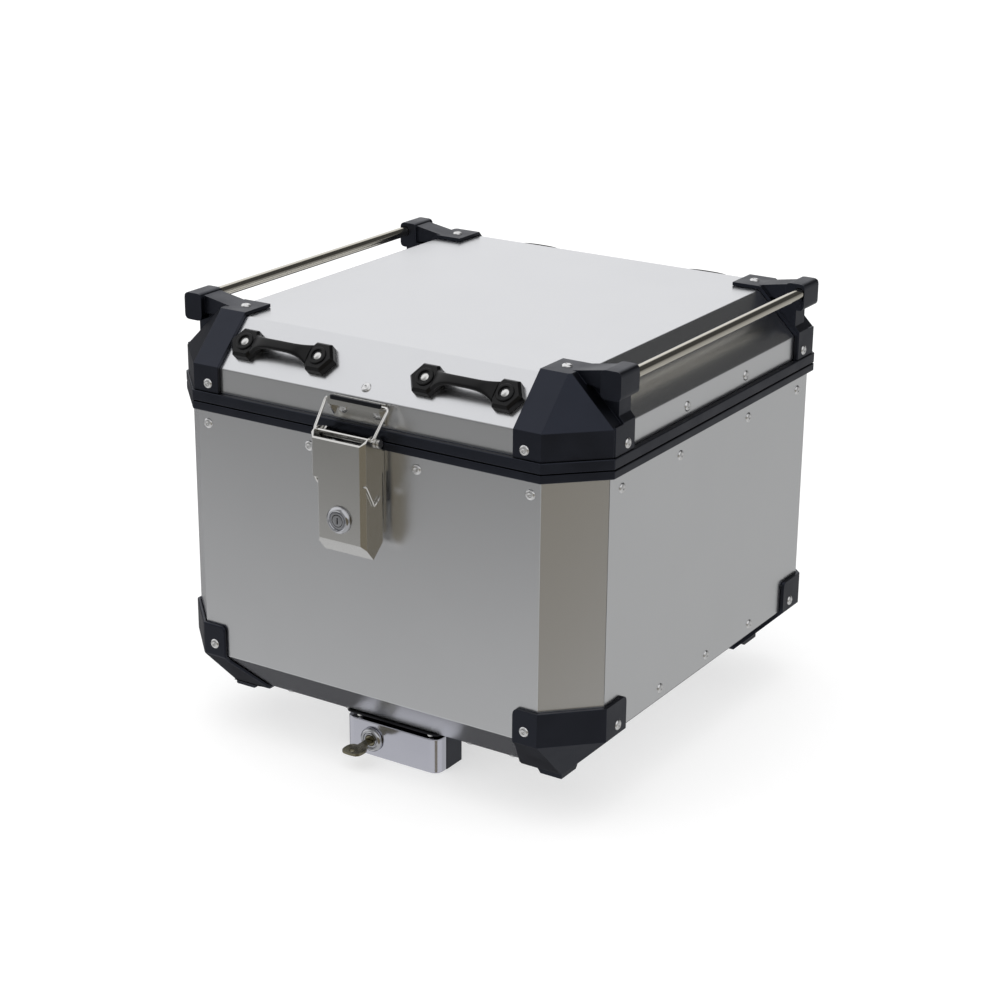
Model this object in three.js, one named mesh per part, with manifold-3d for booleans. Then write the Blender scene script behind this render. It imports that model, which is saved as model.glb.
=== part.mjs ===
// Aluminium motorcycle top case: a folded sheet box with a lift-up lid, moulded corner
// protectors, side rails, an over-centre latch and a keyed release under its front edge.
//
// Millimetres. +Z is up, -Y is the latch side, +X is the right-hand side as one faces the latch.
// The origin is the centre of the floor's underside.

import * as THREE from 'three';
import { ConvexGeometry } from 'three/addons/geometries/ConvexGeometry.js';
import { mergeVertices } from 'three/addons/utils/BufferGeometryUtils.js';
import Module from 'manifold-3d';

const wasm = await Module();
wasm.setup();

// ---- Driving dimensions ---------------------------------------------------------------

const CASE_WIDTH = 430;
const CASE_DEPTH = 444;
const CORNER_CUT = 40;        // leg of the 45 degree cut down each vertical corner
const BASE_BEVEL = 40;        // height and inset of the 45 degree bevel round the floor
const SEAM_HEIGHT = 278;      // where the lid parts from the body
const LID_BEND = 310;         // top of the lid's upright band
const LID_TOP = 348;
const LID_SLOPE = 38;         // inset of the lid's top from its band
const SHEET = 1.5;            // aluminium sheet
const GAP = 0.3;              // clearance between touching pieces

const RIM_PROUD = 5.4;        // how far the edge mouldings stand out from the sheet
const RIM_INSIDE = 4.5;       // how far they reach inwards
const BODY_RIM_LOW = 270.4;
const LID_RIM_HIGH = 287.7;
const SEAL_SLIT = 1;          // visible slit between the two mouldings

const GUARD_PROUD = 3.5;      // moulded corner protectors, outside the sheet
const GUARD_EDGE = 150;       // where a lid protector starts, along X and along Y
const BASE_GUARD_TOP = 69;
const FOOT_LOW = -7.8;

const RAIL_X = 216.5;
const RAIL_Z = 349.8;
const RAIL_RADIUS = 5;
const SOCKET_INNER = 151;     // |y| of a rail socket's mouth
const SOCKET_OUTER = 181;

const LOOP_CENTRE_X = 93.3;   // tie-down loops, two on each long slope
const LOOP_SPAN = 77.5;       // between a loop's two screws
const LOOP_UP_SLOPE = 26;

const PIVOT = { y: -234.5, z: 278 };       // latch lever's pin
const BAIL_EYE = { y: -244, z: 283 };      // where the bail turns in the lever
const BAIL_HOOK = { y: -228, z: 307 };     // where the bail rests in the lid's hook
const LEVER_FRONT = -255;
const LATCH_LOCK_Z = 212.5;

const HINGE = { y: CASE_DEPTH / 2 + 11, z: SEAM_HEIGHT + 0.6 };
const HINGE_X = 108;
const HINGE_LENGTH = 70;
const KNUCKLE_RADIUS = 4;

const RELEASE_FRONT = -184;   // keyed release under the front edge
const RELEASE_LOW = -39;
const RELEASE_HIGH = -6;
const RELEASE_HALF = 50;
const RELEASE_KEY = { x: -20.5, z: -22.5 };
const COVER_WALL = 2;
const COVER_RADIUS = 10;
const BLOCK_FRONT = -169.5;   // moulded block that closes the cover's back
const PLATE_REAR = -120;
const KEY_BOW = { front: -220, back: -202, half: 10, radius: 7 };

// ---- Finishes ---------------------------------------------------------------------------

const FINISH = {
  sheet: { color: 0xb9babb, roughness: 0.34, metalness: 1.0 },
  moulding: { color: 0x17181a, roughness: 0.55, metalness: 0.0 },
  rubber: { color: 0x0c0c0d, roughness: 0.85, metalness: 0.0 },
  stainless: { color: 0xc9c5bb, roughness: 0.14, metalness: 1.0 },
  satinChrome: { color: 0xaeb0ba, roughness: 0.28, metalness: 1.0 },
  zincSteel: { color: 0x9b9a94, roughness: 0.4, metalness: 1.0 },
  brass: { color: 0xb69a5c, roughness: 0.35, metalness: 1.0 },
};

// ---- Solid helpers ------------------------------------------------------------------------

function solid(geometry) {
  const bare = geometry.clone();
  bare.deleteAttribute('normal');
  bare.deleteAttribute('uv');
  const merged = mergeVertices(bare, 1e-4);
  const vertProperties = new Float32Array(merged.attributes.position.array);
  const triVerts = new Uint32Array(merged.index.array);
  return new wasm.Manifold(new wasm.Mesh({ numProp: 3, vertProperties, triVerts }));
}

function geometryOf(shape) {
  const mesh = shape.getMesh();
  const geometry = new THREE.BufferGeometry();
  geometry.setAttribute('position', new THREE.BufferAttribute(new Float32Array(mesh.vertProperties), 3));
  geometry.setIndex(new THREE.BufferAttribute(new Uint32Array(mesh.triVerts), 1));
  geometry.computeVertexNormals();
  return geometry;
}

// The smallest convex solid round the given [x, y, z] points.
function hull(...points) {
  return solid(new ConvexGeometry(points.map(([x, y, z]) => new THREE.Vector3(x, y, z))));
}

function block([x0, x1], [y0, y1], [z0, z1]) {
  const box = new THREE.BoxGeometry(x1 - x0, y1 - y0, z1 - z0);
  return solid(box.translate((x0 + x1) / 2, (y0 + y1) / 2, (z0 + z1) / 2));
}

// A rectangle at one height, as four points for a hull.
function slab([x0, x1], [y0, y1], z) {
  return [[x0, y0, z], [x1, y0, z], [x1, y1, z], [x0, y1, z]];
}

// Extrudes an outline. `axis` is the direction of extrusion, and the outline's two
// coordinates are the other two axes in the order y,z for X, x,z for Y and x,y for Z.
function prism(axis, outline, from, to) {
  const points = axis === 'Y' ? outline.map(([x, z]) => [z, x]) : outline;
  const shape = new THREE.Shape(points.map(([u, v]) => new THREE.Vector2(u, v)));
  const geometry = new THREE.ExtrudeGeometry(shape, { depth: to - from, bevelEnabled: false });
  geometry.translate(0, 0, from);
  const turn = new THREE.Matrix4();
  if (axis === 'X') turn.set(0, 0, 1, 0, 1, 0, 0, 0, 0, 1, 0, 0, 0, 0, 0, 1);
  if (axis === 'Y') turn.set(0, 1, 0, 0, 0, 0, 1, 0, 1, 0, 0, 0, 0, 0, 0, 1);
  return solid(geometry.applyMatrix4(turn));
}

// Rounds every corner of an outline whose corners are given as [u, v, radius].
function rounded(corners, steps = 4) {
  const points = [];
  corners.forEach(([u, v, radius = 0], i) => {
    const here = new THREE.Vector2(u, v);
    const before = new THREE.Vector2(...corners.at(i - 1).slice(0, 2)).sub(here).normalize();
    const after = new THREE.Vector2(...corners[(i + 1) % corners.length].slice(0, 2)).sub(here).normalize();
    if (radius === 0) {
      points.push([u, v]);
      return;
    }
    const reach = radius / Math.tan(Math.acos(before.dot(after)) / 2);
    const curve = new THREE.QuadraticBezierCurve(
      here.clone().addScaledVector(before, reach), here, here.clone().addScaledVector(after, reach));
    curve.getPoints(steps).forEach((point) => points.push([point.x, point.y]));
  });
  return points;
}

// A round bar between two points.
function rod(from, to, radius, sides = 16) {
  const start = new THREE.Vector3(...from);
  const along = new THREE.Vector3(...to).sub(start);
  const geometry = new THREE.CylinderGeometry(radius, radius, along.length(), sides);
  geometry.translate(0, along.length() / 2, 0);
  const turn = new THREE.Quaternion().setFromUnitVectors(new THREE.Vector3(0, 1, 0), along.normalize());
  return solid(geometry.applyQuaternion(turn).translate(...from));
}

// A bent wire: straight bars with a ball at each bend.
function wire(points, radius, sides = 8) {
  const balls = points.slice(1, -1).map((point) =>
    solid(new THREE.SphereGeometry(radius * 1.02, sides, sides / 2 + 1).translate(...point)));
  const bars = points.slice(1).map((point, i) => rod(points[i], point, radius, sides));
  return [...bars, ...balls].reduce((sum, next) => sum.add(next));
}

// A turned piece from [radius, distance] pairs along an axis that starts at `at` and points along `axis`.
function turned(profile, at, axis, sides = 20) {
  const geometry = new THREE.LatheGeometry(profile.map(([r, d]) => new THREE.Vector2(r, d)), sides);
  const turn = new THREE.Quaternion().setFromUnitVectors(
    new THREE.Vector3(0, 1, 0), new THREE.Vector3(...axis));
  return solid(geometry.applyQuaternion(turn).translate(...at));
}

// The same geometry on the other side of the X = 0 plane.
function mirroredX(geometry) {
  const mirrored = geometry.clone().applyMatrix4(new THREE.Matrix4().makeScale(-1, 1, 1));
  const index = mirrored.index.array;
  for (let i = 0; i < index.length; i += 3) [index[i], index[i + 1]] = [index[i + 1], index[i]];
  mirrored.computeVertexNormals();
  return mirrored;
}

const model = new THREE.Group();

function place(name, geometry, finish, parent = model) {
  const mesh = new THREE.Mesh(geometry, new THREE.MeshStandardMaterial(finish));
  mesh.name = name;
  parent.add(mesh);
  return mesh;
}

function add(name, shape, finish, parent = model) {
  return place(name, geometryOf(shape), finish, parent);
}

// ---- The case's outline and its two tapering blocks -----------------------------------------

// How much a plane's offset moves the edge between an upright face and a 45 degree one.
const EDGE_SHIFT = Math.SQRT2 - 1;

function cutRectangle(halfX, halfY, cut, z) {
  return [
    [halfX - cut, -halfY, z], [halfX, cut - halfY, z], [halfX, halfY - cut, z], [halfX - cut, halfY, z],
    [cut - halfX, halfY, z], [-halfX, halfY - cut, z], [-halfX, cut - halfY, z], [cut - halfX, -halfY, z],
  ];
}

// The case's eight-cornered outline, pushed out by `offset`, at height z.
function outline(offset, z) {
  const cut = CORNER_CUT + offset * (2 - Math.SQRT2);
  return cutRectangle(CASE_WIDTH / 2 + offset, CASE_DEPTH / 2 + offset, cut, z);
}

function outlineBlock(offset, z0, z1) {
  return hull(...outline(offset, z0), ...outline(offset, z1));
}

function ring(outer, inner, z0, z1) {
  return outlineBlock(outer, z0, z1).subtract(outlineBlock(inner, z0 - 1, z1 + 1));
}

// The body with its bevelled floor, every face pushed out by `offset`, up to height `top`.
function bodyBlock(offset, top) {
  const shift = offset * EDGE_SHIFT;
  const halfX = CASE_WIDTH / 2 - BASE_BEVEL + shift;
  const halfY = CASE_DEPTH / 2 - BASE_BEVEL + shift;
  return hull(
    ...slab([-halfX, halfX], [-halfY, halfY], -offset),
    ...outline(offset, BASE_BEVEL - shift), ...outline(offset, top));
}

// The lid with its sloping edges, every face pushed out by `offset`, down to height `low`.
function lidBlock(offset, low) {
  const shift = offset * EDGE_SHIFT;
  const halfX = CASE_WIDTH / 2 - LID_SLOPE + shift;
  const halfY = CASE_DEPTH / 2 - LID_SLOPE + shift;
  return hull(
    ...outline(offset, low), ...outline(offset, LID_BEND + shift),
    ...cutRectangle(halfX, halfY, CORNER_CUT - LID_SLOPE, LID_TOP + offset));
}

// ---- Body: folded sheet panels, floor and edge moulding ----------------------------------------

const FAR = 400;
const FLANGE = 22;            // width of the riveting flanges inside the floor
const FLANGE_SHORT = 6;       // how far a flange stops short of its corner
const FLANGE_HEIGHTS = [SHEET + GAP, 2 * SHEET + GAP];
const CORNER_Y = CASE_DEPTH / 2 - CORNER_CUT;
const FLOOR_X = CASE_WIDTH / 2 - BASE_BEVEL;
const FLOOR_Y = CASE_DEPTH / 2 - BASE_BEVEL;
const PANEL_TOP = 276;

function bodyShell() {
  return bodyBlock(0, PANEL_TOP).subtract(bodyBlock(-SHEET, PANEL_TOP + 10));
}

// A long face with the two cut corners, its bevel and a riveting flange inside the floor.
function endPanel() {
  const region = block([-FAR, FAR], [-FAR, -CORNER_Y - GAP / 2], [-FAR, FAR]);
  const half = FLOOR_X - FLANGE_SHORT;
  const flange = block([-half, half], [-FLOOR_Y - SHEET, FLANGE - FLOOR_Y], FLANGE_HEIGHTS);
  return bodyShell().intersect(region).add(flange);
}

// A flat side face with its bevel and a riveting flange.
function sidePanel() {
  const region = block([FLOOR_X + GAP / 2, FAR], [-CORNER_Y + GAP / 2, CORNER_Y - GAP / 2], [-FAR, FAR]);
  const reach = FLOOR_Y - FLANGE - FLANGE_SHORT;
  const flange = block([FLOOR_X - FLANGE, FLOOR_X + SHEET], [-reach, reach], FLANGE_HEIGHTS);
  return bodyShell().intersect(region).add(flange);
}

function floorPan() {
  return block([-FLOOR_X + GAP / 2, FLOOR_X - GAP / 2], [-FLOOR_Y + GAP / 2, FLOOR_Y - GAP / 2], [0, SHEET]);
}

// Edge moulding: a channel that grips the panels' top edges.
function bodyRim() {
  const top = SEAM_HEIGHT - SEAL_SLIT / 2;
  const grip = ring(GAP, -SHEET - GAP, BODY_RIM_LOW - 20, PANEL_TOP + GAP);
  return ring(RIM_PROUD, -RIM_INSIDE, BODY_RIM_LOW, top)
    .add(ring(-SHEET - GAP, -RIM_INSIDE, BODY_RIM_LOW - 8, top))
    .subtract(grip);
}

function buildBody() {
  const end = geometryOf(endPanel());
  const side = geometryOf(sidePanel());
  place('front_panel', end, FINISH.sheet);
  place('rear_panel', end, FINISH.sheet).rotation.z = Math.PI;
  place('side_panel_right', side, FINISH.sheet);
  place('side_panel_left', side, FINISH.sheet).rotation.z = Math.PI;
  add('floor_pan', floorPan(), FINISH.sheet);
  add('body_rim', bodyRim(), FINISH.moulding);
}

// ---- Base corner protectors with feet ------------------------------------------------------------

function baseGuard() {
  const shell = bodyBlock(GUARD_PROUD, BASE_GUARD_TOP).subtract(bodyBlock(GAP, BASE_GUARD_TOP + 20));
  const flare = (edge, inner) => rounded([
    [edge, BASE_GUARD_TOP + 0.2, 6], [edge, 34, 3], [inner, -GAP], [inner, -10], [240, -10],
    [240, BASE_GUARD_TOP + 0.2]]);
  const acrossFront = prism('Y', flare(152.5, 136), -240, 0);
  const acrossSide = prism('X', flare(150, 134).map(([y, z]) => [-y, z]), 0, 240);
  const foot = hull(
    ...slab([151, FLOOR_X + 1], [-FLOOR_Y - 1, -155], -2.5),
    ...slab([155, FLOOR_X + 1], [-FLOOR_Y - 1, -159], FOOT_LOW));
  const rest = foot.subtract(block([0, 240], [-240, 0], [-GAP, 20]));
  return shell.intersect(acrossFront).intersect(acrossSide).add(rest);
}

// ---- Lid: skin, edge moulding, seal, protectors, rails --------------------------------------------

const LID_SKIN_LOW = SEAM_HEIGHT + 2.5;

function lidSkin() {
  return lidBlock(0, LID_SKIN_LOW).subtract(lidBlock(-SHEET, LID_SKIN_LOW - 10));
}

function lidRim() {
  const low = SEAM_HEIGHT + SEAL_SLIT / 2;
  const grip = ring(GAP, -SHEET - GAP, LID_SKIN_LOW - GAP, LID_RIM_HIGH + 20);
  const sealGroove = ring(RIM_PROUD - 1.1, 1.2, low - 1, SEAM_HEIGHT + 4.6);
  return ring(RIM_PROUD, -RIM_INSIDE, low, LID_RIM_HIGH)
    .add(ring(-SHEET - GAP, -RIM_INSIDE, low, LID_RIM_HIGH + 7))
    .subtract(grip)
    .subtract(sealGroove);
}

function rimSeal() {
  return ring(RIM_PROUD - 1.4, 1.5, SEAM_HEIGHT - SEAL_SLIT / 2 + GAP, SEAM_HEIGHT + 4.3);
}

// A lid protector: a skin over the corner, a top tab, and a post that carries the rail's socket.
function lidGuard() {
  const clear = lidBlock(GAP, SEAM_HEIGHT - 10);
  const skin = lidBlock(GUARD_PROUD, LID_RIM_HIGH + GAP)
    .intersect(block([GUARD_EDGE, FAR], [-FAR, -GUARD_EDGE], [0, FAR]));
  const band = CASE_WIDTH / 2 + 4.2;
  const neck = band - 4.5;
  const post = prism('Y', [
    [180, 296], [band, 296], [band, 314], [neck, 319], [neck, 340], [180, 340]], -170, -SOCKET_INNER);
  const lowArm = block([205, band], [-CORNER_Y, -SOCKET_INNER], [LID_RIM_HIGH + GAP, 313]);
  const arm = hull(
    ...slab([174, 178], [-176, -153], 344), ...slab([174, 178], [-176, -153], LID_TOP + GUARD_PROUD),
    ...slab([206, 208], [-176, -153], 340), ...slab([206, 208], [-176, -153], 357));
  const socket = prism('Y', rounded([[203, 334, 5], [222, 334, 5], [222, 358.6, 5], [203, 358.6, 5]]),
    -SOCKET_OUTER, -SOCKET_INNER);
  const bore = rod(
    [RAIL_X, -SOCKET_OUTER + 8, RAIL_Z], [RAIL_X, -SOCKET_INNER + 5, RAIL_Z], RAIL_RADIUS + GAP);
  return skin.add(post).add(lowArm).add(arm).add(socket).subtract(clear).subtract(bore);
}

function rail() {
  const reach = SOCKET_OUTER - 8.5;
  return rod([RAIL_X, -reach, RAIL_Z], [RAIL_X, reach, RAIL_Z], RAIL_RADIUS);
}

// ---- Tie-down loops -----------------------------------------------------------------------------

const PAD_RADIUS = 17;
const PAD_CROWN = 11;         // radius of a pad's flat top

function hexagon(centreX, radius, z) {
  return Array.from({ length: 6 }, (_, i) => {
    const angle = (i + 0.5) * Math.PI / 3;
    return [centreX + radius * Math.cos(angle), radius * Math.sin(angle), z];
  });
}

// Lies on its own z = 0 plane, with X along the bar. Each pad is recessed for its screw.
function tieLoop() {
  const pad = (x) => hull(
    ...hexagon(x, PAD_RADIUS, GAP), ...hexagon(x, PAD_RADIUS - 1, 4), ...hexagon(x, PAD_CROWN, 8));
  const screwBore = (x) => rod([x, 0, 5], [x, 0, 20], 5.3, 12).add(rod([x, 0, -1], [x, 0, 20], 2.3, 8));
  const half = LOOP_SPAN / 2;
  const leg = (side) => hull(
    ...slab([side * (half - 14) - 2, side * (half - 14) + 2], [-8, 8], 2),
    ...slab([side * (half - 9) - 2, side * (half - 9) + 2], [-7, 7], 8),
    ...slab([side * (half - 19) - 1, side * (half - 19) + 1], [-5.5, 5.5], 9),
    ...slab([side * (half - 17) - 1, side * (half - 17) + 1], [-5.5, 5.5], 14));
  const bar = hull(
    ...slab([18 - half, half - 18], [-5, 5], 9.5), ...slab([18 - half, half - 18], [-5, 5], 12.5),
    ...slab([18 - half, half - 18], [-3.5, 3.5], 14.2));
  return pad(-half).add(pad(half)).add(leg(-1)).add(leg(1)).add(bar)
    .subtract(screwBore(-half)).subtract(screwBore(half));
}

function loopScrew() {
  return turned([[0, 1], [2, 1], [2, 5.3], [4.8, 5.3], [4.8, 7], [3, 8.6], [0, 9]], [0, 0, 0], [0, 0, 1], 12);
}

// Places one loop and its two screws on a long slope: side -1 is the latch side, 1 the hinge side.
function placeLoop(parent, side, x, label, loopGeometry, screwGeometry) {
  const group = new THREE.Group();
  const up = LOOP_UP_SLOPE * Math.SQRT1_2;
  group.position.set(x, side * (CASE_DEPTH / 2 - up), LID_BEND + up);
  group.rotation.set(-side * Math.PI / 4, 0, 0);
  parent.add(group);
  place(`tie_loop_${label}`, loopGeometry, FINISH.moulding, group);
  [['outer', Math.sign(x)], ['inner', -Math.sign(x)]].forEach(([end, direction]) => {
    place(`tie_loop_screw_${label}_${end}`, screwGeometry, FINISH.zincSteel, group)
      .position.x = direction * LOOP_SPAN / 2;
  });
}

// ---- Hinges ---------------------------------------------------------------------------------------

const LEAF_Y = CASE_DEPTH / 2 + RIM_PROUD + 0.4;

// One leaf: a plate stepped out to clear the edge mouldings, with its own knuckles on the pin.
function hingeLeaf(x, upwards, knuckles, notches) {
  const half = HINGE_LENGTH / 2;
  const [low, high] = upwards ? [HINGE.z, HINGE.z + 31] : [HINGE.z - 39, HINGE.z];
  const step = upwards ? [HINGE.z + 10, high] : [low, HINGE.z - 9];
  const across = [x - half, x + half];
  const plate = block(across, [LEAF_Y, LEAF_Y + 2], [low, high]);
  const pad = block(across, [CASE_DEPTH / 2 + GAP, LEAF_Y + 1], step);
  const notched = notches.reduce((rest, [from, to]) =>
    rest.subtract(block([x + from, x + to], [0, FAR], [HINGE.z - 6, HINGE.z + 6])), plate);
  const withKnuckles = knuckles.reduce((sum, [from, to]) =>
    sum.add(rod([x + from, HINGE.y, HINGE.z], [x + to, HINGE.y, HINGE.z], KNUCKLE_RADIUS, 16)), notched);
  const bore = rod([x - half - 5, HINGE.y, HINGE.z], [x + half + 5, HINGE.y, HINGE.z], 2 + GAP, 12);
  return withKnuckles.add(pad).subtract(bore);
}

function buildHinge(side, label, lid) {
  const x = side * HINGE_X;
  const half = HINGE_LENGTH / 2;
  const bodyLeaf = hingeLeaf(x, false, [[-half, -11.8], [11.8, half]], [[-11.8, 11.8]]);
  const lidLeaf = hingeLeaf(x, true, [[-11.4, 11.4]], [[-half - 1, -11.4], [11.4, half + 1]]);
  add(`hinge_body_leaf_${label}`, bodyLeaf, FINISH.stainless);
  add(`hinge_lid_leaf_${label}`, lidLeaf, FINISH.stainless, lid);
  const shank = HINGE_LENGTH + 3.4;
  const pin = turned([
    [0, 0], [3.4, 0], [3.4, 1.4], [2, 1.4], [2, shank], [3.4, shank], [3.4, shank + 1.4], [0, shank + 1.4]],
    [x - half - 2.4, HINGE.y, HINGE.z], [1, 0, 0], 12);
  add(`hinge_pin_${label}`, pin, FINISH.zincSteel);
}

// ---- Over-centre latch ------------------------------------------------------------------------------

const LEVER_RIGHT = 25;       // the lever's sides, from its middle
const LEVER_LEFT = 25;
const WING_LEFT = 30.5;       // the wider upper part reaches further to the left
const WING_LOW = 246;
const SPRING_EYE = { y: -252.2, z: 245 };

function leverProfile(left, right, inset) {
  const front = LEVER_FRONT + inset;
  return [
    [inset - left, -200], [inset - left, front + 4], [4 - left, front],
    [right - 4, front], [right - inset, front + 4], [right - inset, -200]];
}

// The folded lever: a wide part at the pivot, and a narrower part round the lock.
function latchLever() {
  const back = -228.5;
  const upperSide = [[LEVER_FRONT, WING_LOW], [LEVER_FRONT, 279.5], [-248, 285], [-241.5, 286], [-234.5, 284],
    [-230.3, 282.2], [back, 278], [back, WING_LOW]];
  const lowerSide = [[LEVER_FRONT, WING_LOW], [LEVER_FRONT, 193], [-242, 178], [back, 190], [back, WING_LOW]];
  const tab = prism('X', [[-251, WING_LOW], [-245, 237.5], [back, 237.5], [back, WING_LOW]],
    -WING_LEFT, SHEET - WING_LEFT);
  const outer = prism('X', upperSide, -40, 40)
    .intersect(prism('Z', leverProfile(WING_LEFT, LEVER_RIGHT, 0), 200, 300))
    .add(prism('X', lowerSide, -40, 40)
      .intersect(prism('Z', leverProfile(LEVER_LEFT, LEVER_RIGHT, 0), 100, 300)))
    .add(tab);
  const hollowSide = [
    [LEVER_FRONT + SHEET, WING_LOW], [LEVER_FRONT + SHEET, 193.6], [-225, 160.7], [-225, WING_LOW]];
  const hollow = prism('Z', leverProfile(WING_LEFT, LEVER_RIGHT, SHEET), WING_LOW - 0.1, 300)
    .add(prism('X', hollowSide, -40, 40)
      .intersect(prism('Z', leverProfile(LEVER_LEFT, LEVER_RIGHT, SHEET), 100, 300)));
  const pinHole = rod([-40, PIVOT.y, PIVOT.z], [40, PIVOT.y, PIVOT.z], 2.5 + GAP, 12);
  const bailHole = rod([-40, BAIL_EYE.y, BAIL_EYE.z], [40, BAIL_EYE.y, BAIL_EYE.z], 1.5 + GAP, 10);
  const lockHole = rod([0, LEVER_FRONT - 5, LATCH_LOCK_Z], [0, LEVER_FRONT + 5, LATCH_LOCK_Z], 8 + GAP, 16);
  const springHole = rod([-40, SPRING_EYE.y, SPRING_EYE.z], [40, SPRING_EYE.y, SPRING_EYE.z], 1, 8);
  return [hollow, pinHole, bailHole, lockHole, springHole].reduce((rest, cut) => rest.subtract(cut), outer);
}

const BASE_LEFT = 28.4;
const BASE_RIGHT = 22.9;

// Channel riveted to the body: its two ears reach out past the edge moulding to the lever's pin.
function latchBase() {
  const face = -CASE_DEPTH / 2 - GAP;
  const plate = block([-BASE_LEFT, BASE_RIGHT], [face - SHEET, face], [196, 268]);
  const ear = [
    [face, 250], [face, 268], [-227.9, 270], [-227.9, 282],
    [-234.5, 284], [-239, 281], [-239, 272], [-232, 250]];
  const ears = prism('X', ear, BASE_RIGHT - 2, BASE_RIGHT).add(prism('X', ear, -BASE_LEFT, 2 - BASE_LEFT));
  const strike = block([17, 19], [-231, face - 1], [206, 219])
    .add(block([5.6, 19], [-231, -229.6], [206, 219]));
  return plate.add(ears).add(strike)
    .subtract(rod([-40, PIVOT.y, PIVOT.z], [40, PIVOT.y, PIVOT.z], 2.5 + GAP, 12));
}

function latchPin() {
  const start = -WING_LEFT - GAP - 2.6;
  const shank = LEVER_RIGHT + GAP - start;
  return turned([
    [0, 0], [3.6, 0], [3.6, 2.6], [2.5, 2.6],
    [2.5, shank], [3.6, shank], [3.6, shank + 2.6], [0, shank + 2.6]],
    [start, PIVOT.y, PIVOT.z], [1, 0, 0], 12);
}

// Closed wire loop: it turns in the lever and its top bar drops into the lid's hook.
function latchBail() {
  const eyes = [[-WING_LEFT - 2.1, BAIL_EYE.y, BAIL_EYE.z], [LEVER_RIGHT + 2.1, BAIL_EYE.y, BAIL_EYE.z]];
  const shoulder = (side) => [side * 31.6, BAIL_HOOK.y, BAIL_HOOK.z];
  const ball = (at) => solid(new THREE.SphereGeometry(1.53, 8, 5).translate(...at));
  return wire([eyes[0], shoulder(-1), shoulder(1), eyes[1]], 1.5)
    .add(wire([eyes[1], eyes[0]], 1.5)).add(ball(eyes[0])).add(ball(eyes[1]));
}

// Wire spring that crosses inside the lever, with a V-shaped tail outside each flange.
function latchSpring() {
  const out = LEVER_RIGHT + 1.3;
  const tail = (side) => [
    [side * out, SPRING_EYE.y, SPRING_EYE.z], [side * out, -241.4, 225.4], [side * out, -233.3, 232]];
  return wire([...tail(-1).reverse(), ...tail(1)], 0.7, 6);
}

const HOOK_LEFT = 27.5;
const HOOK_RIGHT = 25.5;
const HOOK_LIP = 309.5;

// Bracket riveted to the lid's band: an upward trough for the bail's bar on two gusset ears.
function lidHook() {
  const face = -CASE_DEPTH / 2 - GAP;
  const ear = [[face, 290], [-232.3, 303], [face, 303]];
  return block([-HOOK_LEFT, HOOK_RIGHT], [face - SHEET, face], [290, 309])
    .add(block([-HOOK_LEFT, HOOK_RIGHT], [-232.3, face], [302.8, 304.3]))
    .add(block([-HOOK_LEFT, HOOK_RIGHT], [-232.3, -230.8], [302.8, HOOK_LIP]))
    .add(prism('X', ear, -HOOK_LEFT, SHEET - HOOK_LEFT))
    .add(prism('X', ear, HOOK_RIGHT - SHEET, HOOK_RIGHT));
}

function latchLockBarrel() {
  const bezel = turned([[5.3, 0], [12, 0], [12, 2.6], [10.2, 3.8], [5.3, 3.8], [5.3, 0]],
    [0, LEVER_FRONT - GAP, LATCH_LOCK_Z], [0, -1, 0], 24);
  const barrel = turned([[5.3, 0], [8, 0], [8, 17], [5.3, 17], [5.3, 0]],
    [0, LEVER_FRONT - GAP - 1, LATCH_LOCK_Z], [0, 1, 0], 16);
  return bezel.add(barrel);
}

function latchLockCore() {
  const face = LEVER_FRONT - GAP - 3;
  const core = turned([[0, 0], [5, 0], [5, 31], [0, 31]], [0, face, LATCH_LOCK_Z], [0, 1, 0], 16);
  const slot = block([-0.6, 0.6], [face - 2, face + 4], [LATCH_LOCK_Z - 3, LATCH_LOCK_Z + 3]);
  const cam = block([-4, 4], [face + 29.2, face + 31], [LATCH_LOCK_Z - 4, LATCH_LOCK_Z + 15]);
  return core.subtract(slot).add(cam);
}

// ---- Keyed release under the front edge ------------------------------------------------------------

function releasePlate() {
  const shape = rounded([
    [-RELEASE_HALF, RELEASE_FRONT, 6], [RELEASE_HALF, RELEASE_FRONT, 6],
    [RELEASE_HALF, PLATE_REAR], [-RELEASE_HALF, PLATE_REAR]]);
  return prism('Z', shape, -GAP - 2, -GAP);
}

function releaseCover() {
  const shape = (inset, rear) => {
    const half = RELEASE_HALF - inset;
    const front = RELEASE_FRONT + inset;
    const radius = COVER_RADIUS - inset;
    return rounded([[-half, front, radius], [half, front, radius], [half, rear], [-half, rear]], 6);
  };
  const hollow = prism(
    'Z', shape(COVER_WALL, BLOCK_FRONT + 10), RELEASE_LOW + COVER_WALL, RELEASE_HIGH - COVER_WALL);
  const shell = prism('Z', shape(0, BLOCK_FRONT - 0.5), RELEASE_LOW, RELEASE_HIGH).subtract(hollow);
  const { x, z } = RELEASE_KEY;
  return shell.subtract(rod([x, -200, z], [x, -165, z], 8 + GAP, 20));
}

function releaseBlock() {
  const body = block([-RELEASE_HALF, RELEASE_HALF], [BLOCK_FRONT, -146], [RELEASE_LOW, RELEASE_HIGH])
    .add(block([-40, 40], [-180, -160], [RELEASE_LOW + 5, RELEASE_HIGH - 5]))
    .add(block([-44, 44], [-166, -148], [RELEASE_HIGH - 1, -2.6]));
  const { x, z } = RELEASE_KEY;
  const boltWay = block([-12.3, 12.3], [-164, -140], [-22.3, -13.7]);
  return body.subtract(rod([x, -200, z], [x, -160, z], 8 + GAP, 20)).subtract(boltWay);
}

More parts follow.
